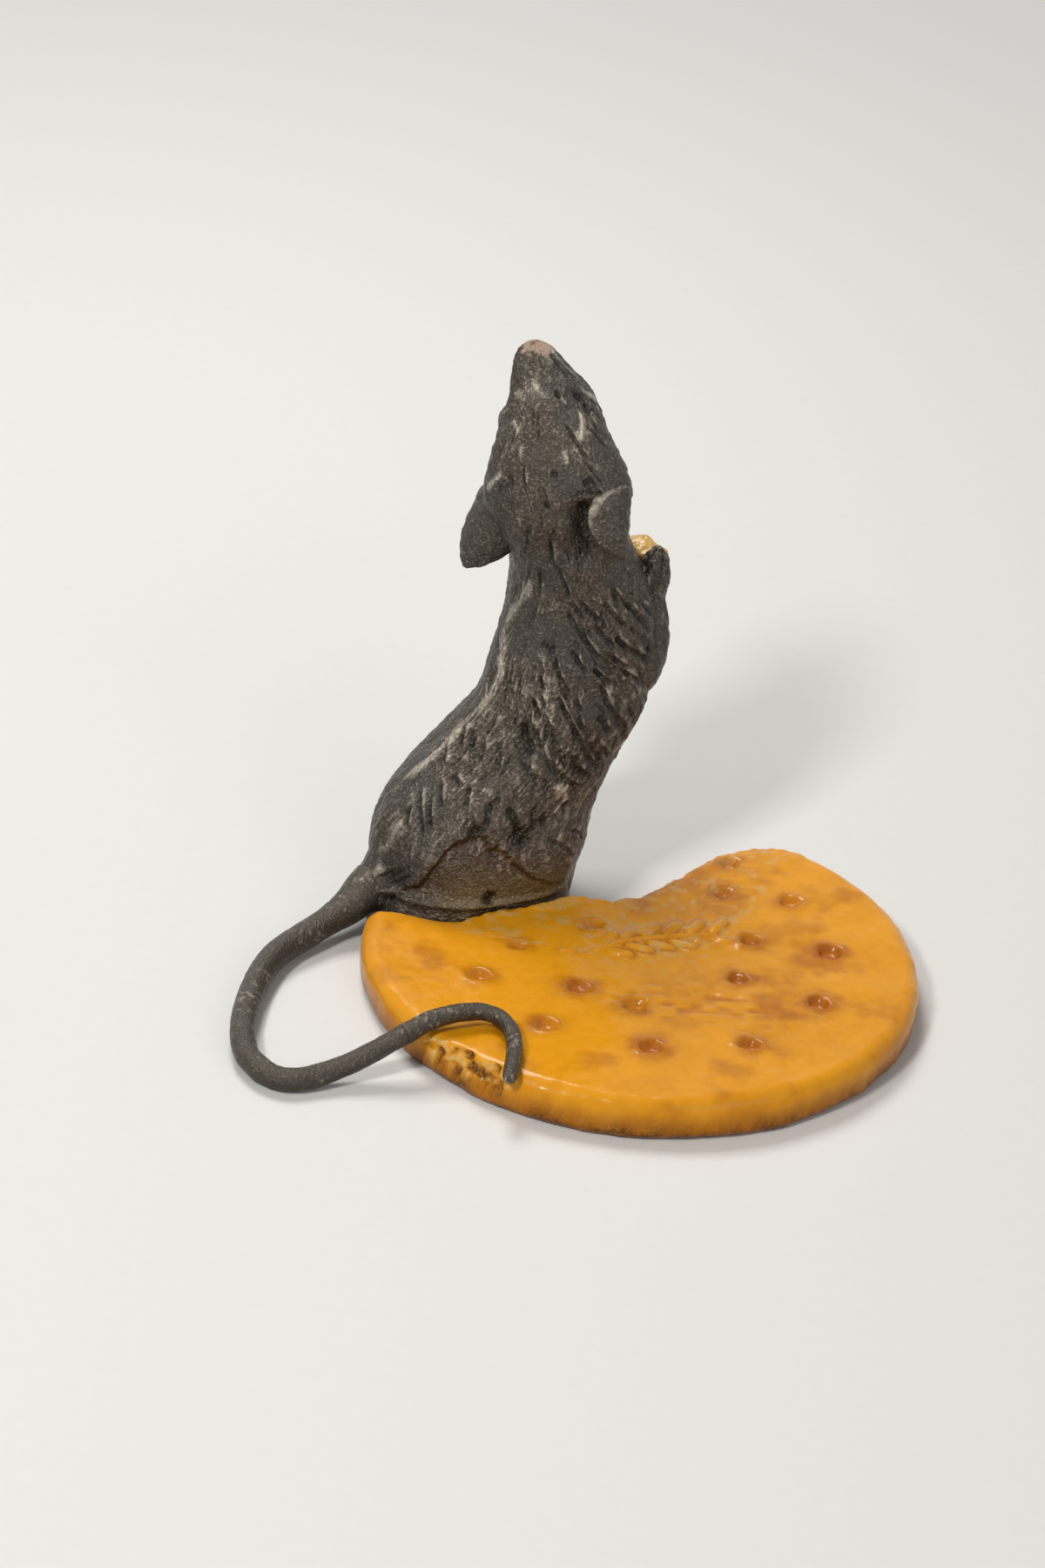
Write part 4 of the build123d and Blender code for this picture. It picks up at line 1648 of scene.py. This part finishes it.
@dataclass
class Tail:
    """The tail, cast in two lengths that are soldered end to end.

    Its start lies on the mouse, as shares of the height. Its route has plane places as shares of
    the biscuit's radius, and heights over the table as shares of the biscuit's thickness.
    """

    root_diameter: float = 3.3
    tip_diameter: float = 1.5
    table_gap: float = 0.05
    biscuit_radius: float = 30.0
    biscuit_thickness: float = 4.6
    joint_ring: int = 16
    start: tuple[Point, ...] = ((0.072, -0.214, -0.026), (0.054, -0.256, -0.018))
    route: tuple[Point, ...] = (
        (-1.12, 0.115, 0.22),
        (-1.20, 0.026, 0.10),
        (-1.28, -0.08, 0.05),
        (-1.33, -0.20, 0.02),
        (-1.355, -0.34, 0.0),
        (-1.368, -0.50, 0.0),
        (-1.36, -0.65, 0.0),
        (-1.33, -0.76, 0.0),
        (-1.27, -0.84, 0.0),
        (-1.20, -0.875, 0.0),
        (-1.12, -0.86, 0.02),
        (-1.04, -0.82, 0.10),
        (-0.96, -0.785, 0.28),
        (-0.885, -0.75, 0.52),
        (-0.80, -0.71, 0.80),
        (-0.725, -0.665, 1.00),
        (-0.645, -0.622, 1.08),
        (-0.562, -0.590, 1.08),
        (-0.493, -0.602, 1.05),
        (-0.442, -0.675, 1.03),
        (-0.423, -0.785, 1.02),
        (-0.428, -0.885, 1.00),
        (-0.434, -0.945, 0.80),
    )

    def line(self) -> tuple[Array, Array]:
        """The tail's middle line, its first points on the mouse and the others beside the biscuit.

        Returns:
            The points and the tail's radius at each.
        """
        lead = np.array([MOUSE.point(shares) for shares in self.start])
        run = np.array(self.route) * (self.biscuit_radius, self.biscuit_radius, self.biscuit_thickness)
        count = len(lead) + len(run)
        share = np.arange(count) / (count - 1)
        radii = (self.root_diameter * (1 - share) + self.tip_diameter * share) / 2
        run[:, 2] += radii[len(lead) :] + self.table_gap
        return np.concatenate([lead, run]), radii

    def length_of(
        self, name: str, node: str, first: float, last: float, rings: int, shop: Workshop
    ) -> None:
        """Builds one length of the tail between two points of its line.

        Args:
            name: the piece's name.
            node: the CAD node that it stands for.
            first: the fractional number of its first point.
            last: the fractional number of its last point.
            rings: how many rings it has.
            shop: the finishes.
        """
        line, radii = self.line()
        at = np.linspace(first, last, rings)
        path = spline(line, at)
        radius = spline(radii[:, None], at)[:, 0]
        root = soft_step(2.6 - at, 0.0, 3.0)
        radius = radius * (1 + 0.45 * root)
        tip = np.clip((len(line) - 1 - at) / 0.55, 0, 1)
        radius = radius * np.sqrt(np.maximum(1 - (1 - tip) ** 2, 0.002))
        joint = np.exp(-(((at - self.joint_ring) / 0.35) ** 2))
        radius = radius * (1 + 0.06 * joint)
        angle = np.linspace(0, FULL_TURN, 44, endpoint=False)
        across, upward = radius[:, None] * np.cos(angle), radius[:, None] * np.sin(angle)
        tube = carried_profile(path, (0, 0, 1), across, upward)
        lumps = layered_noise(tube / 2.2, 91)
        pits = -np.maximum(layered_noise(tube / 0.7, 93) - 0.45, 0)
        fine = layered_noise(tube / 0.45, 97)
        rough = 0.08 * lumps + 0.045 * fine + 0.25 * pits * (0.3 + joint[:, None])
        tube = tube + grid_normals(tube) * rough[..., None]
        fields = {
            # The pits darken as painted shade through the proud mask.
            "proud": np.clip(0.5 * lumps + 0.8 * fine + 4 * pits, -1, 1),
            "smooth": np.full(lumps.shape, 0.75),
            "tan": np.zeros(lumps.shape),
            "brass": np.zeros(lumps.shape),
        }
        thing = tube_mesh(name, tube, fields)
        shop.place(thing, node, CastPaint("tail_paint", blue_paint=(0.074, 0.062, 0.050), roughness=0.38))

    def make(self, shop: Workshop) -> None:
        """Builds both lengths.

        Args:
            shop: the finishes.
        """
        last = len(self.start) + len(self.route) - 1
        self.length_of("tail_rear_cast", "tail_rear", -0.45, self.joint_ring, 380, shop)
        self.length_of("tail_tip_cast", "tail_tip", self.joint_ring, last, 180, shop)


# The biscuit


@dataclass
class Biscuit:
    """The round tea biscuit with its bitten side, dimples and crumbled rim.

    The bitten edge and the stem are runs of plane places in millimetres. A nibble is a bearing in
    degrees, a size and a depth, the wavy patch a middle and its two half widths, and a dimple a
    middle, a size and a depth.
    """

    radius: float = 30.0
    thickness: float = 4.6
    top_round: float = 1.9
    foot_round: float = 1.1
    bite_top_round: float = 0.7
    bite_foot_round: float = 0.4
    hub: tuple[float, float] = (5.0, -6.0)
    columns: int = 600
    under_rings: int = 8
    bend_rings: int = 22
    face_rings: int = 112
    bitten: tuple[tuple[float, float], ...] = (
        (-31.5, 2.4),
        (-29.2, 2.7),
        (-26.5, 2.6),
        (-24.3, 2.0),
        (-20.4, 2.1),
        (-18.9, 3.1),
        (-16.5, 4.9),
        (-14.8, 6.0),
        (-12.9, 6.5),
        (-11.3, 7.3),
        (-8.9, 9.0),
        (-7.6, 9.4),
        (-6.2, 9.5),
        (-4.9, 9.4),
        (-3.6, 8.7),
        (-2.9, 9.3),
        (-1.9, 10.3),
        (-0.5, 10.7),
        (0.9, 12.2),
        (3.0, 14.4),
        (4.9, 16.7),
        (6.4, 18.9),
        (8.0, 20.9),
        (9.8, 22.3),
        (11.7, 23.2),
        (13.7, 23.8),
        (16.6, 23.5),
        (19.5, 22.4),
        (22.4, 20.2),
    )
    nibbles: tuple[tuple[float, float, float], ...] = (
        (-134, 3.4, 1.0),
        (-128, 3.8, 1.3),
        (-121, 3.6, 1.2),
        (-116, 2.2, 0.8),
        (-58, 1.6, 0.40),
        (-44, 1.3, 0.30),
        (-34, 1.5, 0.45),
        (-31, 1.1, 0.35),
        (168, 1.6, 0.40),
    )
    stem: tuple[tuple[float, float], ...] = ((-8.4, -3.6), (8.4, 3.4))
    grain_pairs: int = 6
    wavy: tuple[float, float, float, float] = (6.9, -10.8, 8.8, 4.2)
    dimples: tuple[tuple[float, float, float, float], ...] = (
        (9.6, 19.2, 1.7, 0.62),
        (8.7, 12.6, 1.8, 0.40),
        (16.2, 12.0, 1.7, 0.45),
        (11.7, 3.3, 1.6, 0.40),
        (20.4, 2.4, 1.8, 0.55),
        (10.5, -4.8, 1.5, 0.48),
        (18.9, -8.1, 1.7, 0.50),
        (11.4, -17.4, 1.6, 0.52),
        (-0.6, -11.7, 1.8, 0.50),
        (-6.6, -9.3, 1.8, 0.42),
        (-9.6, -16.8, 1.6, 0.46),
        (1.2, -19.5, 1.7, 0.46),
        (-5.4, 3.6, 1.5, 0.30),
        (-17.1, -8.4, 1.6, 0.46),
        (-13.2, -2.1, 1.5, 0.30),
    )

    def round_edge(self, angle: Array) -> Array:
        """How far the full circle lies from the hub at each angle.

        Args:
            angle: radians round the hub.

        Returns:
            Millimetres.
        """
        hub = np.array(self.hub)
        ray = np.stack([np.cos(angle), np.sin(angle)], axis=-1)
        inward = ray @ hub
        return -inward + np.sqrt(inward**2 - hub @ hub + self.radius**2)

    def edge(self, angle: Array) -> Array:
        """How far the outline lies from the hub at each angle, the bitten edge where it is nearer.

        Args:
            angle: radians round the hub.

        Returns:
            Millimetres.
        """
        hub = np.array(self.hub)
        run = spline(np.array(self.bitten), np.linspace(0, len(self.bitten) - 1, 900)) - hub
        bearing = np.unwrap(np.arctan2(run[:, 1], run[:, 0]))
        order = np.argsort(bearing)
        bearing, away = bearing[order], np.linalg.norm(run, axis=-1)[order]
        wrapped = (angle - bearing[0]) % FULL_TURN + bearing[0]
        bite = np.interp(wrapped, bearing, away, right=99.0)
        return np.minimum(self.round_edge(angle), bite)

    def bite_share(self, angle: Array) -> Array:
        """1 along the bitten edge, 0 along the round rim and a rise between them."""
        return soft_step(self.round_edge(angle) - self.edge(angle), 0.0, 1.2)

    def keep_beside(self, points: Array, gap: float = 0.12) -> Array:
        """Points that would lie in the biscuit, moved out past its bitten edge.

        Args:
            points: any array of points.
            gap: the joint's width.

        Returns:
            The points, those above the biscuit unmoved.
        """
        hub = np.array(self.hub)
        flat = points[..., :2] - hub
        away = np.linalg.norm(flat, axis=-1)
        angle = np.arctan2(flat[..., 1], flat[..., 0])
        limit = self.edge(angle) + gap
        short = np.maximum(limit - away, 0) * soft_step(self.thickness + 1.0 - points[..., 2], 0.0, 0.9)
        moved = points.copy()
        moved[..., :2] += flat / away[..., None] * short[..., None]
        return moved

    def sprig(self, flat: Array) -> Array:
        """A worn sprig of wheat on the face: a bowed stem with a pair of grains at each step.

        A grain rises by e to the minus sum of the fourth power of its place along over its half
        length and the square of its place across over its half width.

        Args:
            flat: plane places.

        Returns:
            The rise of each place, 0 to 1.
        """
        start, end = np.array(self.stem)
        length = np.linalg.norm(end - start)
        along = (end - start) / length
        aside = np.array([-along[1], along[0]])
        place, off = (flat - start) @ along, (flat - start) @ aside
        bow = 1.2 * np.sin(np.clip(place / length, 0, 1) * pi)
        ends = soft_step(place, -0.3, 1.0) * soft_step(length - place, -0.3, 1.0)
        rise = np.exp(-(((off - bow) / 0.32) ** 2)) * ends
        for step in np.linspace(0.30, 0.98, self.grain_pairs):
            for side in (-1, 1):
                lean = radians(38) * side
                own_x = cos(lean) * along + sin(lean) * aside
                own_y = -sin(lean) * along + cos(lean) * aside
                off_stem = 1.2 * np.sin(step * pi) + 1.55 * side
                middle = start + along * (step * length + 0.8) + aside * off_stem
                local_x, local_y = (flat - middle) @ own_x, (flat - middle) @ own_y
                rise = np.maximum(rise, np.exp(-((local_x / 1.7) ** 4) - (local_y / 0.70) ** 2))
        return rise

    def nibble(self, points: Array) -> tuple[Array, Array]:
        """The rim scooped out where it is nibbled: points in a round hollow move out to its surface.

        Args:
            points: the biscuit's points.

        Returns:
            The moved points, and how crumbled each place is.
        """
        crumbled = np.zeros(points.shape[:-1])
        for bearing, size, depth in self.nibbles:
            out = self.radius + size - depth
            turn = radians(bearing)
            hollow = np.array([out * cos(turn), out * sin(turn), self.thickness - 0.15 * size])
            away = points - hollow
            distance = np.linalg.norm(away, axis=-1)
            short = np.maximum(size * (1 + 0.08 * layered_noise(points / 1.4, 117)) - distance, 0)
            points = points + away / distance[..., None] * short[..., None]
            crumbled = np.maximum(crumbled, soft_step(short, -0.05, 0.35) * min(1.0, depth))
        return points, crumbled

    def relief(self, flat: Array, inset: Array) -> tuple[Array, Array]:
        """How far the upper face stands up or sinks, and where paint has pooled.

        Args:
            flat: plane places.
            inset: how far each place lies in from the outline.

        Returns:
            Millimetres up, and the pooled mask.
        """
        deep = np.concatenate([flat, np.zeros_like(flat[..., :1])], axis=-1)
        rise = 0.22 * layered_noise(deep / 9.0, 101) + 0.05 * layered_noise(deep / 2.4, 103)
        rise += 0.018 * layered_noise(deep / 0.8, 104)
        pooled = np.clip(-1.1 * layered_noise(deep / 4.5, 105, 4) - 0.22, 0, 0.5)
        worn = soft_step(layered_noise(deep / 4.0, 109), -0.75, 0.1)
        grain = self.sprig(flat) * (0.35 + 0.65 * worn)
        rise += 0.55 * grain
        pooled = np.maximum(pooled, 0.9 * np.clip(1 - np.abs(grain - 0.30) / 0.28, 0, 1) * worn)
        x, y, half_x, half_y = self.wavy
        patch = np.exp(-(((flat[..., 0] - x) / half_x) ** 4) - ((flat[..., 1] - y) / half_y) ** 4)
        ripple = noise(deep / (1.5, 1.0, 1.0), 108)
        rise += 0.13 * ripple * patch
        pooled = np.maximum(pooled, np.clip(-ripple, 0, 1) * 0.7 * patch)
        for x, y, size, depth in self.dimples:
            away = np.hypot(flat[..., 0] - x, (flat[..., 1] - y) * 1.08)
            away = away + 0.34 * layered_noise(deep / 1.1, 107)
            bowl = np.exp(-((away / (0.62 * size)) ** 4))
            lip = np.exp(-(((away - size * 0.95) / 0.45) ** 2))
            rise += -1.4 * depth * bowl + 0.09 * lip
            stain = away + 0.8 * layered_noise(deep / 2.2, 115)
            pooled = np.maximum(pooled, np.exp(-((stain / (1.35 * size)) ** 3)))
        rise *= soft_step(inset, 0.3, 2.2)
        return rise, pooled

    def make(self, shop: Workshop) -> None:
        """Builds the biscuit: a rim profile carried round the outline, closed above and below.

        Args:
            shop: the finishes.
        """
        angle = np.arange(self.columns) * FULL_TURN / self.columns
        edge = self.edge(angle)
        bite = self.bite_share(angle)
        top_round = self.top_round * (1 - bite) + self.bite_top_round * bite
        foot_round = self.foot_round * (1 - bite) + self.bite_foot_round * bite
        quarter = np.linspace(0, pi / 2, self.bend_rings)
        under = np.linspace(0.02, 1, self.under_rings)
        over = np.linspace(1, 0.0, self.face_rings)
        levels = []
        insets = []
        for part in under[:-1]:
            insets.append((edge - foot_round) * (1 - part) + foot_round)
            levels.append(np.zeros(self.columns))
        for bend in quarter:
            insets.append(foot_round * (1 - np.sin(bend)))
            levels.append(foot_round * (1 - np.cos(bend)))
        for bend in quarter:
            insets.append(top_round * (1 - np.cos(bend)))
            levels.append(self.thickness - top_round * (1 - np.sin(bend)))
        for part in over[1:]:
            insets.append(top_round + (edge - top_round) * (1 - part) * 0.998)
            levels.append(np.full(self.columns, self.thickness))
        inset = np.array(insets)
        level = np.array(levels)
        ray = np.stack([np.cos(angle), np.sin(angle)], axis=-1)
        flat = np.array(self.hub) + ray[None] * (edge[None, :] - inset)[..., None]
        upper = soft_step(level, self.thickness * 0.6, self.thickness * 0.98)
        rise, pooled = self.relief(flat, inset)
        points = np.concatenate([flat, (level + rise * upper)[..., None]], axis=-1)
        crumb = layered_noise(points / 1.1, 111) * bite[None, :] * soft_step(level, 0.2, 1.5)
        side = soft_step(2.5 - inset, 0.0, 2.0)
        swell = 0.20 * layered_noise(points / 5.0, 113) + 0.06 * layered_noise(points / 1.3, 114)
        points = points + grid_normals(points) * ((0.22 * crumb + swell) * side)[..., None]
        points, crumbled = self.nibble(points)
        crumbs = layered_noise(points / 1.0, 119)
        points = points + grid_normals(points) * (0.40 * (crumbs + 0.35) * crumbled)[..., None]
        points[..., 2] = np.maximum(points[..., 2], 0.0)
        fields = {
            "pooled": pooled * upper,
            # Darker towards the table: the rim's tone and painted shade.
            "rim": soft_step(3.9 - level + 0.8 * layered_noise(points / 3.0, 121), 0.0, 2.2) * 0.9,
            "chipped": np.maximum(
                crumbled * soft_step(crumbs, -0.1, 0.5),
                0.6 * soft_step(crumb, 0.15, 0.6),
            ),
            # Dirt on the crumbled bite, and painted shade in the sunk crumbs of the nibbles.
            "grime_and_shade": np.maximum.reduce(
                [
                    0.35 * np.clip(crumb, 0, 1),
                    crumbled * soft_step(-crumbs, -0.05, 0.35),
                    # Painted shade, darker towards the table.
                    0.95 * soft_step(2.3 - level + 1.1 * layered_noise(points / 1.6, 123), 0.0, 2.2),
                ]
            ),
        }
        thing = tube_mesh("biscuit_cast", points, fields)
        shop.place(thing, "biscuit", BiscuitPaint("biscuit_paint"))


@dataclass
class Morsel:
    """The broken corner of biscuit between the forepaws."""

    place: Point = (0.602, 0.356, -0.008)
    length: float = 6.0
    width: float = 4.4
    thickness: float = 3.0
    outline: tuple[tuple[float, float], ...] = (
        (-0.5, -0.30),
        (-0.20, -0.5),
        (0.5, -0.36),
        (0.42, 0.5),
        (-0.38, 0.42),
    )

    def make(self, shop: Workshop) -> None:
        """Builds the morsel: its outline carried through its thickness with rounded, crumbled edges.

        Args:
            shop: the finishes.
        """
        centre = MOUSE.point(self.place)
        own_x = MOUSE.way(0, 1, 0)
        own_z = MOUSE.way(1, 0, 0.25)
        own_y = np.cross(own_z, own_x)
        corners = np.array(self.outline) * (self.length, self.width)
        closed = np.concatenate([corners, corners[:1]])
        runs = np.linalg.norm(np.diff(closed, axis=0), axis=-1)
        travel = np.concatenate([[0], np.cumsum(runs)])
        at = np.linspace(0, travel[-1], 120, endpoint=False)
        rim = np.stack([np.interp(at, travel, closed[:, axis]) for axis in (0, 1)], axis=-1)
        bend = np.linspace(-pi / 2, pi / 2, 60)
        scale = np.clip(np.cos(bend), 0.02, 1) ** 0.28
        lift = np.sign(bend) * np.abs(np.sin(bend)) ** 0.8 * self.thickness / 2
        flat = rim[None] * scale[:, None, None]
        points = centre + flat[..., :1] * own_x + flat[..., 1:] * own_y + lift[:, None, None] * own_z
        rough = layered_noise(points / 0.9, 121)
        points = points + grid_normals(points) * (0.16 * rough)[..., None]
        fields = {
            "pooled": np.clip(-rough, 0, 1) * 0.4,
            "rim": np.full(rough.shape, 0.0),
            "chipped": np.full(rough.shape, 0.65),
            "grime_and_shade": np.zeros(rough.shape),
        }
        thing = tube_mesh("morsel_cast", points, fields)
        shop.place(thing, "biscuit_morsel", BiscuitPaint("morsel_paint", face=(0.72, 0.42, 0.08)))


# Studio


def standing(axes: Array, place: Array) -> Matrix:
    """The matrix that stands a camera or a lamp at a place.

    Args:
        axes: its own right, up and back, a row for each.
        place: where it stands, in millimetres.

    Returns:
        The matrix, in metres.
    """
    whole = np.eye(4)
    whole[:3, :3] = axes.T
    whole[:3, 3] = place * METRE
    return Matrix(whole.tolist())


@dataclass(frozen=True)
class Studio:
    """The pale floor, the soft lamps and the camera at the photograph's angle."""

    viewer: Viewer = Viewer()
    floor_colour: Point = (0.80, 0.79, 0.77)
    floor_reach: float = 5000.0
    floor_lines: int = 21
    floor_drop: float = 0.02
    lit_place: Point = (-8.0, 8.0, 22.0)
    surround_light: float = 0.28

    def camera(self) -> None:
        """Sets up the camera that looks down on the mouse from the viewer's side."""
        data = bpy.data.cameras.new("viewer")
        data.sensor_width = self.viewer.sensor
        data.lens = self.viewer.lens
        data.clip_start = 0.01
        data.clip_end = 10.0
        camera = bpy.data.objects.new("viewer", data)
        camera.matrix_world = standing(self.viewer.axes(), self.viewer.place())
        bpy.context.scene.collection.objects.link(camera)
        bpy.context.scene.camera = camera

    def lamp(self, name: str, place: Point, size: float, power: float, colour: Point) -> None:
        """A square soft lamp that faces the mouse.

        Args:
            name: the lamp's name.
            place: where it hangs, in millimetres.
            size: its side, in millimetres.
            power: its power in watts.
            colour: its light's colour.
        """
        data = bpy.data.lights.new(name, "AREA")
        data.size = size * METRE
        data.energy = power
        data.color = colour
        lamp = bpy.data.objects.new(name, data)
        back = unit(np.array(place) - np.array(self.lit_place))
        own_x = unit(np.cross((0.0, 0.0, 1.0), back))
        own_y = np.cross(back, own_x)
        lamp.matrix_world = standing(np.stack([own_x, own_y, back]), np.array(place))
        bpy.context.scene.collection.objects.link(lamp)

    def seen(self, bench: NodeBench) -> bpy.types.NodeSocket:
        """1 for what the camera sees, straight or in a mirror or through glass, and 0 for light.

        Args:
            bench: the nodes to add to.

        Returns:
            The value's socket.
        """
        path = bench.add("ShaderNodeLightPath")
        mirrored = bench.math("MAXIMUM", path.outputs["Is Glossy Ray"], path.outputs["Is Transmission Ray"])
        return bench.math("MAXIMUM", path.outputs["Is Camera Ray"], mirrored)

    def floor(self) -> None:
        """A wide pale sheet under the mouse."""
        count = self.floor_lines
        lines = np.linspace(-self.floor_reach, self.floor_reach, count)
        grid = np.stack(np.meshgrid(lines, lines, indexing="ij"), axis=-1)
        level = np.full(grid.shape[:2] + (1,), -self.floor_drop)
        points = np.concatenate([grid, level], axis=-1).reshape(-1, 3) * METRE
        first = (np.arange(count - 1)[:, None] * count + np.arange(count - 1)[None, :]).ravel()
        faces = np.stack([first, first + count, first + count + 1, first + 1], axis=-1)
        mesh = bpy.data.meshes.new("floor")
        mesh.from_pydata(points.tolist(), [], faces.tolist())
        sheet = bpy.data.objects.new("floor", mesh)
        bpy.context.scene.collection.objects.link(sheet)
        material = bpy.data.materials.new("floor_paper")
        material.use_nodes = True
        bench = NodeBench(material.node_tree)
        shader = material.node_tree.nodes["Principled BSDF"]
        place = bench.add("ShaderNodeTexCoord")
        fibre = bench.add("ShaderNodeTexNoise")
        fibre.inputs["Scale"].default_value = 600.0
        bench.join(place.outputs["Object"], fibre.inputs["Vector"])
        low = tuple(0.97 * part for part in self.floor_colour)
        bench.join(bench.mix(fibre.outputs["Fac"], self.floor_colour, low), shader.inputs["Base Color"])
        shader.inputs["Roughness"].default_value = 0.9
        shader.inputs["Specular IOR Level"].default_value = 0.2
        apart = bench.add("ShaderNodeVectorMath", operation="LENGTH")
        bench.join(place.outputs["Object"], apart.inputs[0])
        far = bench.ramp(apart.outputs["Value"], 0.16, 0.75, 0.0, 1.0)
        pale = bench.add("ShaderNodeEmission")
        pale.inputs["Color"].default_value = (*self.floor_colour, 1.0)
        blend = bench.add("ShaderNodeMixShader")
        bench.join(bench.math("MULTIPLY", far, self.seen(bench)), blend.inputs["Fac"])
        bench.join(shader.outputs["BSDF"], blend.inputs[1])
        bench.join(pale.outputs["Emission"], blend.inputs[2])
        bench.join(blend.outputs["Shader"], material.node_tree.nodes["Material Output"].inputs["Surface"])
        mesh.materials.append(material)

    def world(self) -> None:
        """An even surround that looks as pale as the floor and lights the mouse less."""
        world = bpy.data.worlds.new("surround")
        world.use_nodes = True
        shade = world.node_tree.nodes["Background"]
        bench = NodeBench(world.node_tree)
        shade.inputs["Color"].default_value = (*self.floor_colour, 1.0)
        strength = bench.ramp(self.seen(bench), 0.0, 1.0, self.surround_light, 1.0)
        bench.join(strength, shade.inputs["Strength"])
        bpy.context.scene.world = world

    def make(self) -> None:
        """Builds the whole studio."""
        self.camera()
        self.floor()
        self.world()
        warm, cool = (1.0, 0.98, 0.95), (0.97, 0.98, 1.0)
        self.lamp("overhead_softbox", place=(-110.0, 230.0, 380.0), size=160.0, power=1.15, colour=warm)
        self.lamp("glint", place=(-190.0, -230.0, 330.0), size=70.0, power=0.80, colour=warm)
        self.lamp("near_fill", place=(260.0, -330.0, 260.0), size=300.0, power=0.35, colour=cool)
        view = bpy.context.scene.view_settings
        view.view_transform = "Standard"


def dress_dowels(frame: dict, shop: Workshop) -> None:
    """Gives the hidden dowels their bare brass.

    Args:
        shop: the finishes.
    """
    for node in ("near_dowel", "far_dowel"):
        shop.dress(frame["nodes"][node], TurnedBrass("dowel_brass"))
        log.info("%s keeps its CAD shape in brass", node)


def main() -> None:
    """Builds the studio and every piece in order."""
    logging.basicConfig(level=logging.INFO, format="%(name)s: %(message)s")
    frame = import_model()
    Studio().make()
    shop = Workshop()
    biscuit = Biscuit()
    biscuit.make(shop)
    MouseCasting().make(shop, biscuit)
    Ear("left_ear", (0.692, 0.080, -0.116), (-0.38, -0.20, -0.90), (-0.94, 0.26, 0.25)).make(shop)
    Ear(
        "right_ear",
        centre=(0.751, 0.199, 0.090),
        long_way=(-0.07, 0.45, -0.89),
        face_way=(0.46, 0.85, 0.20),
        length=7.8,
        width=6.4,
        thickness=1.7,
        curl=2.2,
        root=3.4,
        fold=0.0,
        point=0.0,
        brass=1.0,
    ).make(shop)
    Foreleg("right_foreleg", 1).make(shop)
    Foreleg("left_foreleg", -1).make(shop)
    HindFoot("right_hind_foot", 1).make(shop)
    HindFoot("left_hind_foot", -1).make(shop)
    Tail().make(shop)
    Morsel().make(shop)
    dress_dowels(frame, shop)


if __name__ == "__main__":
    main()
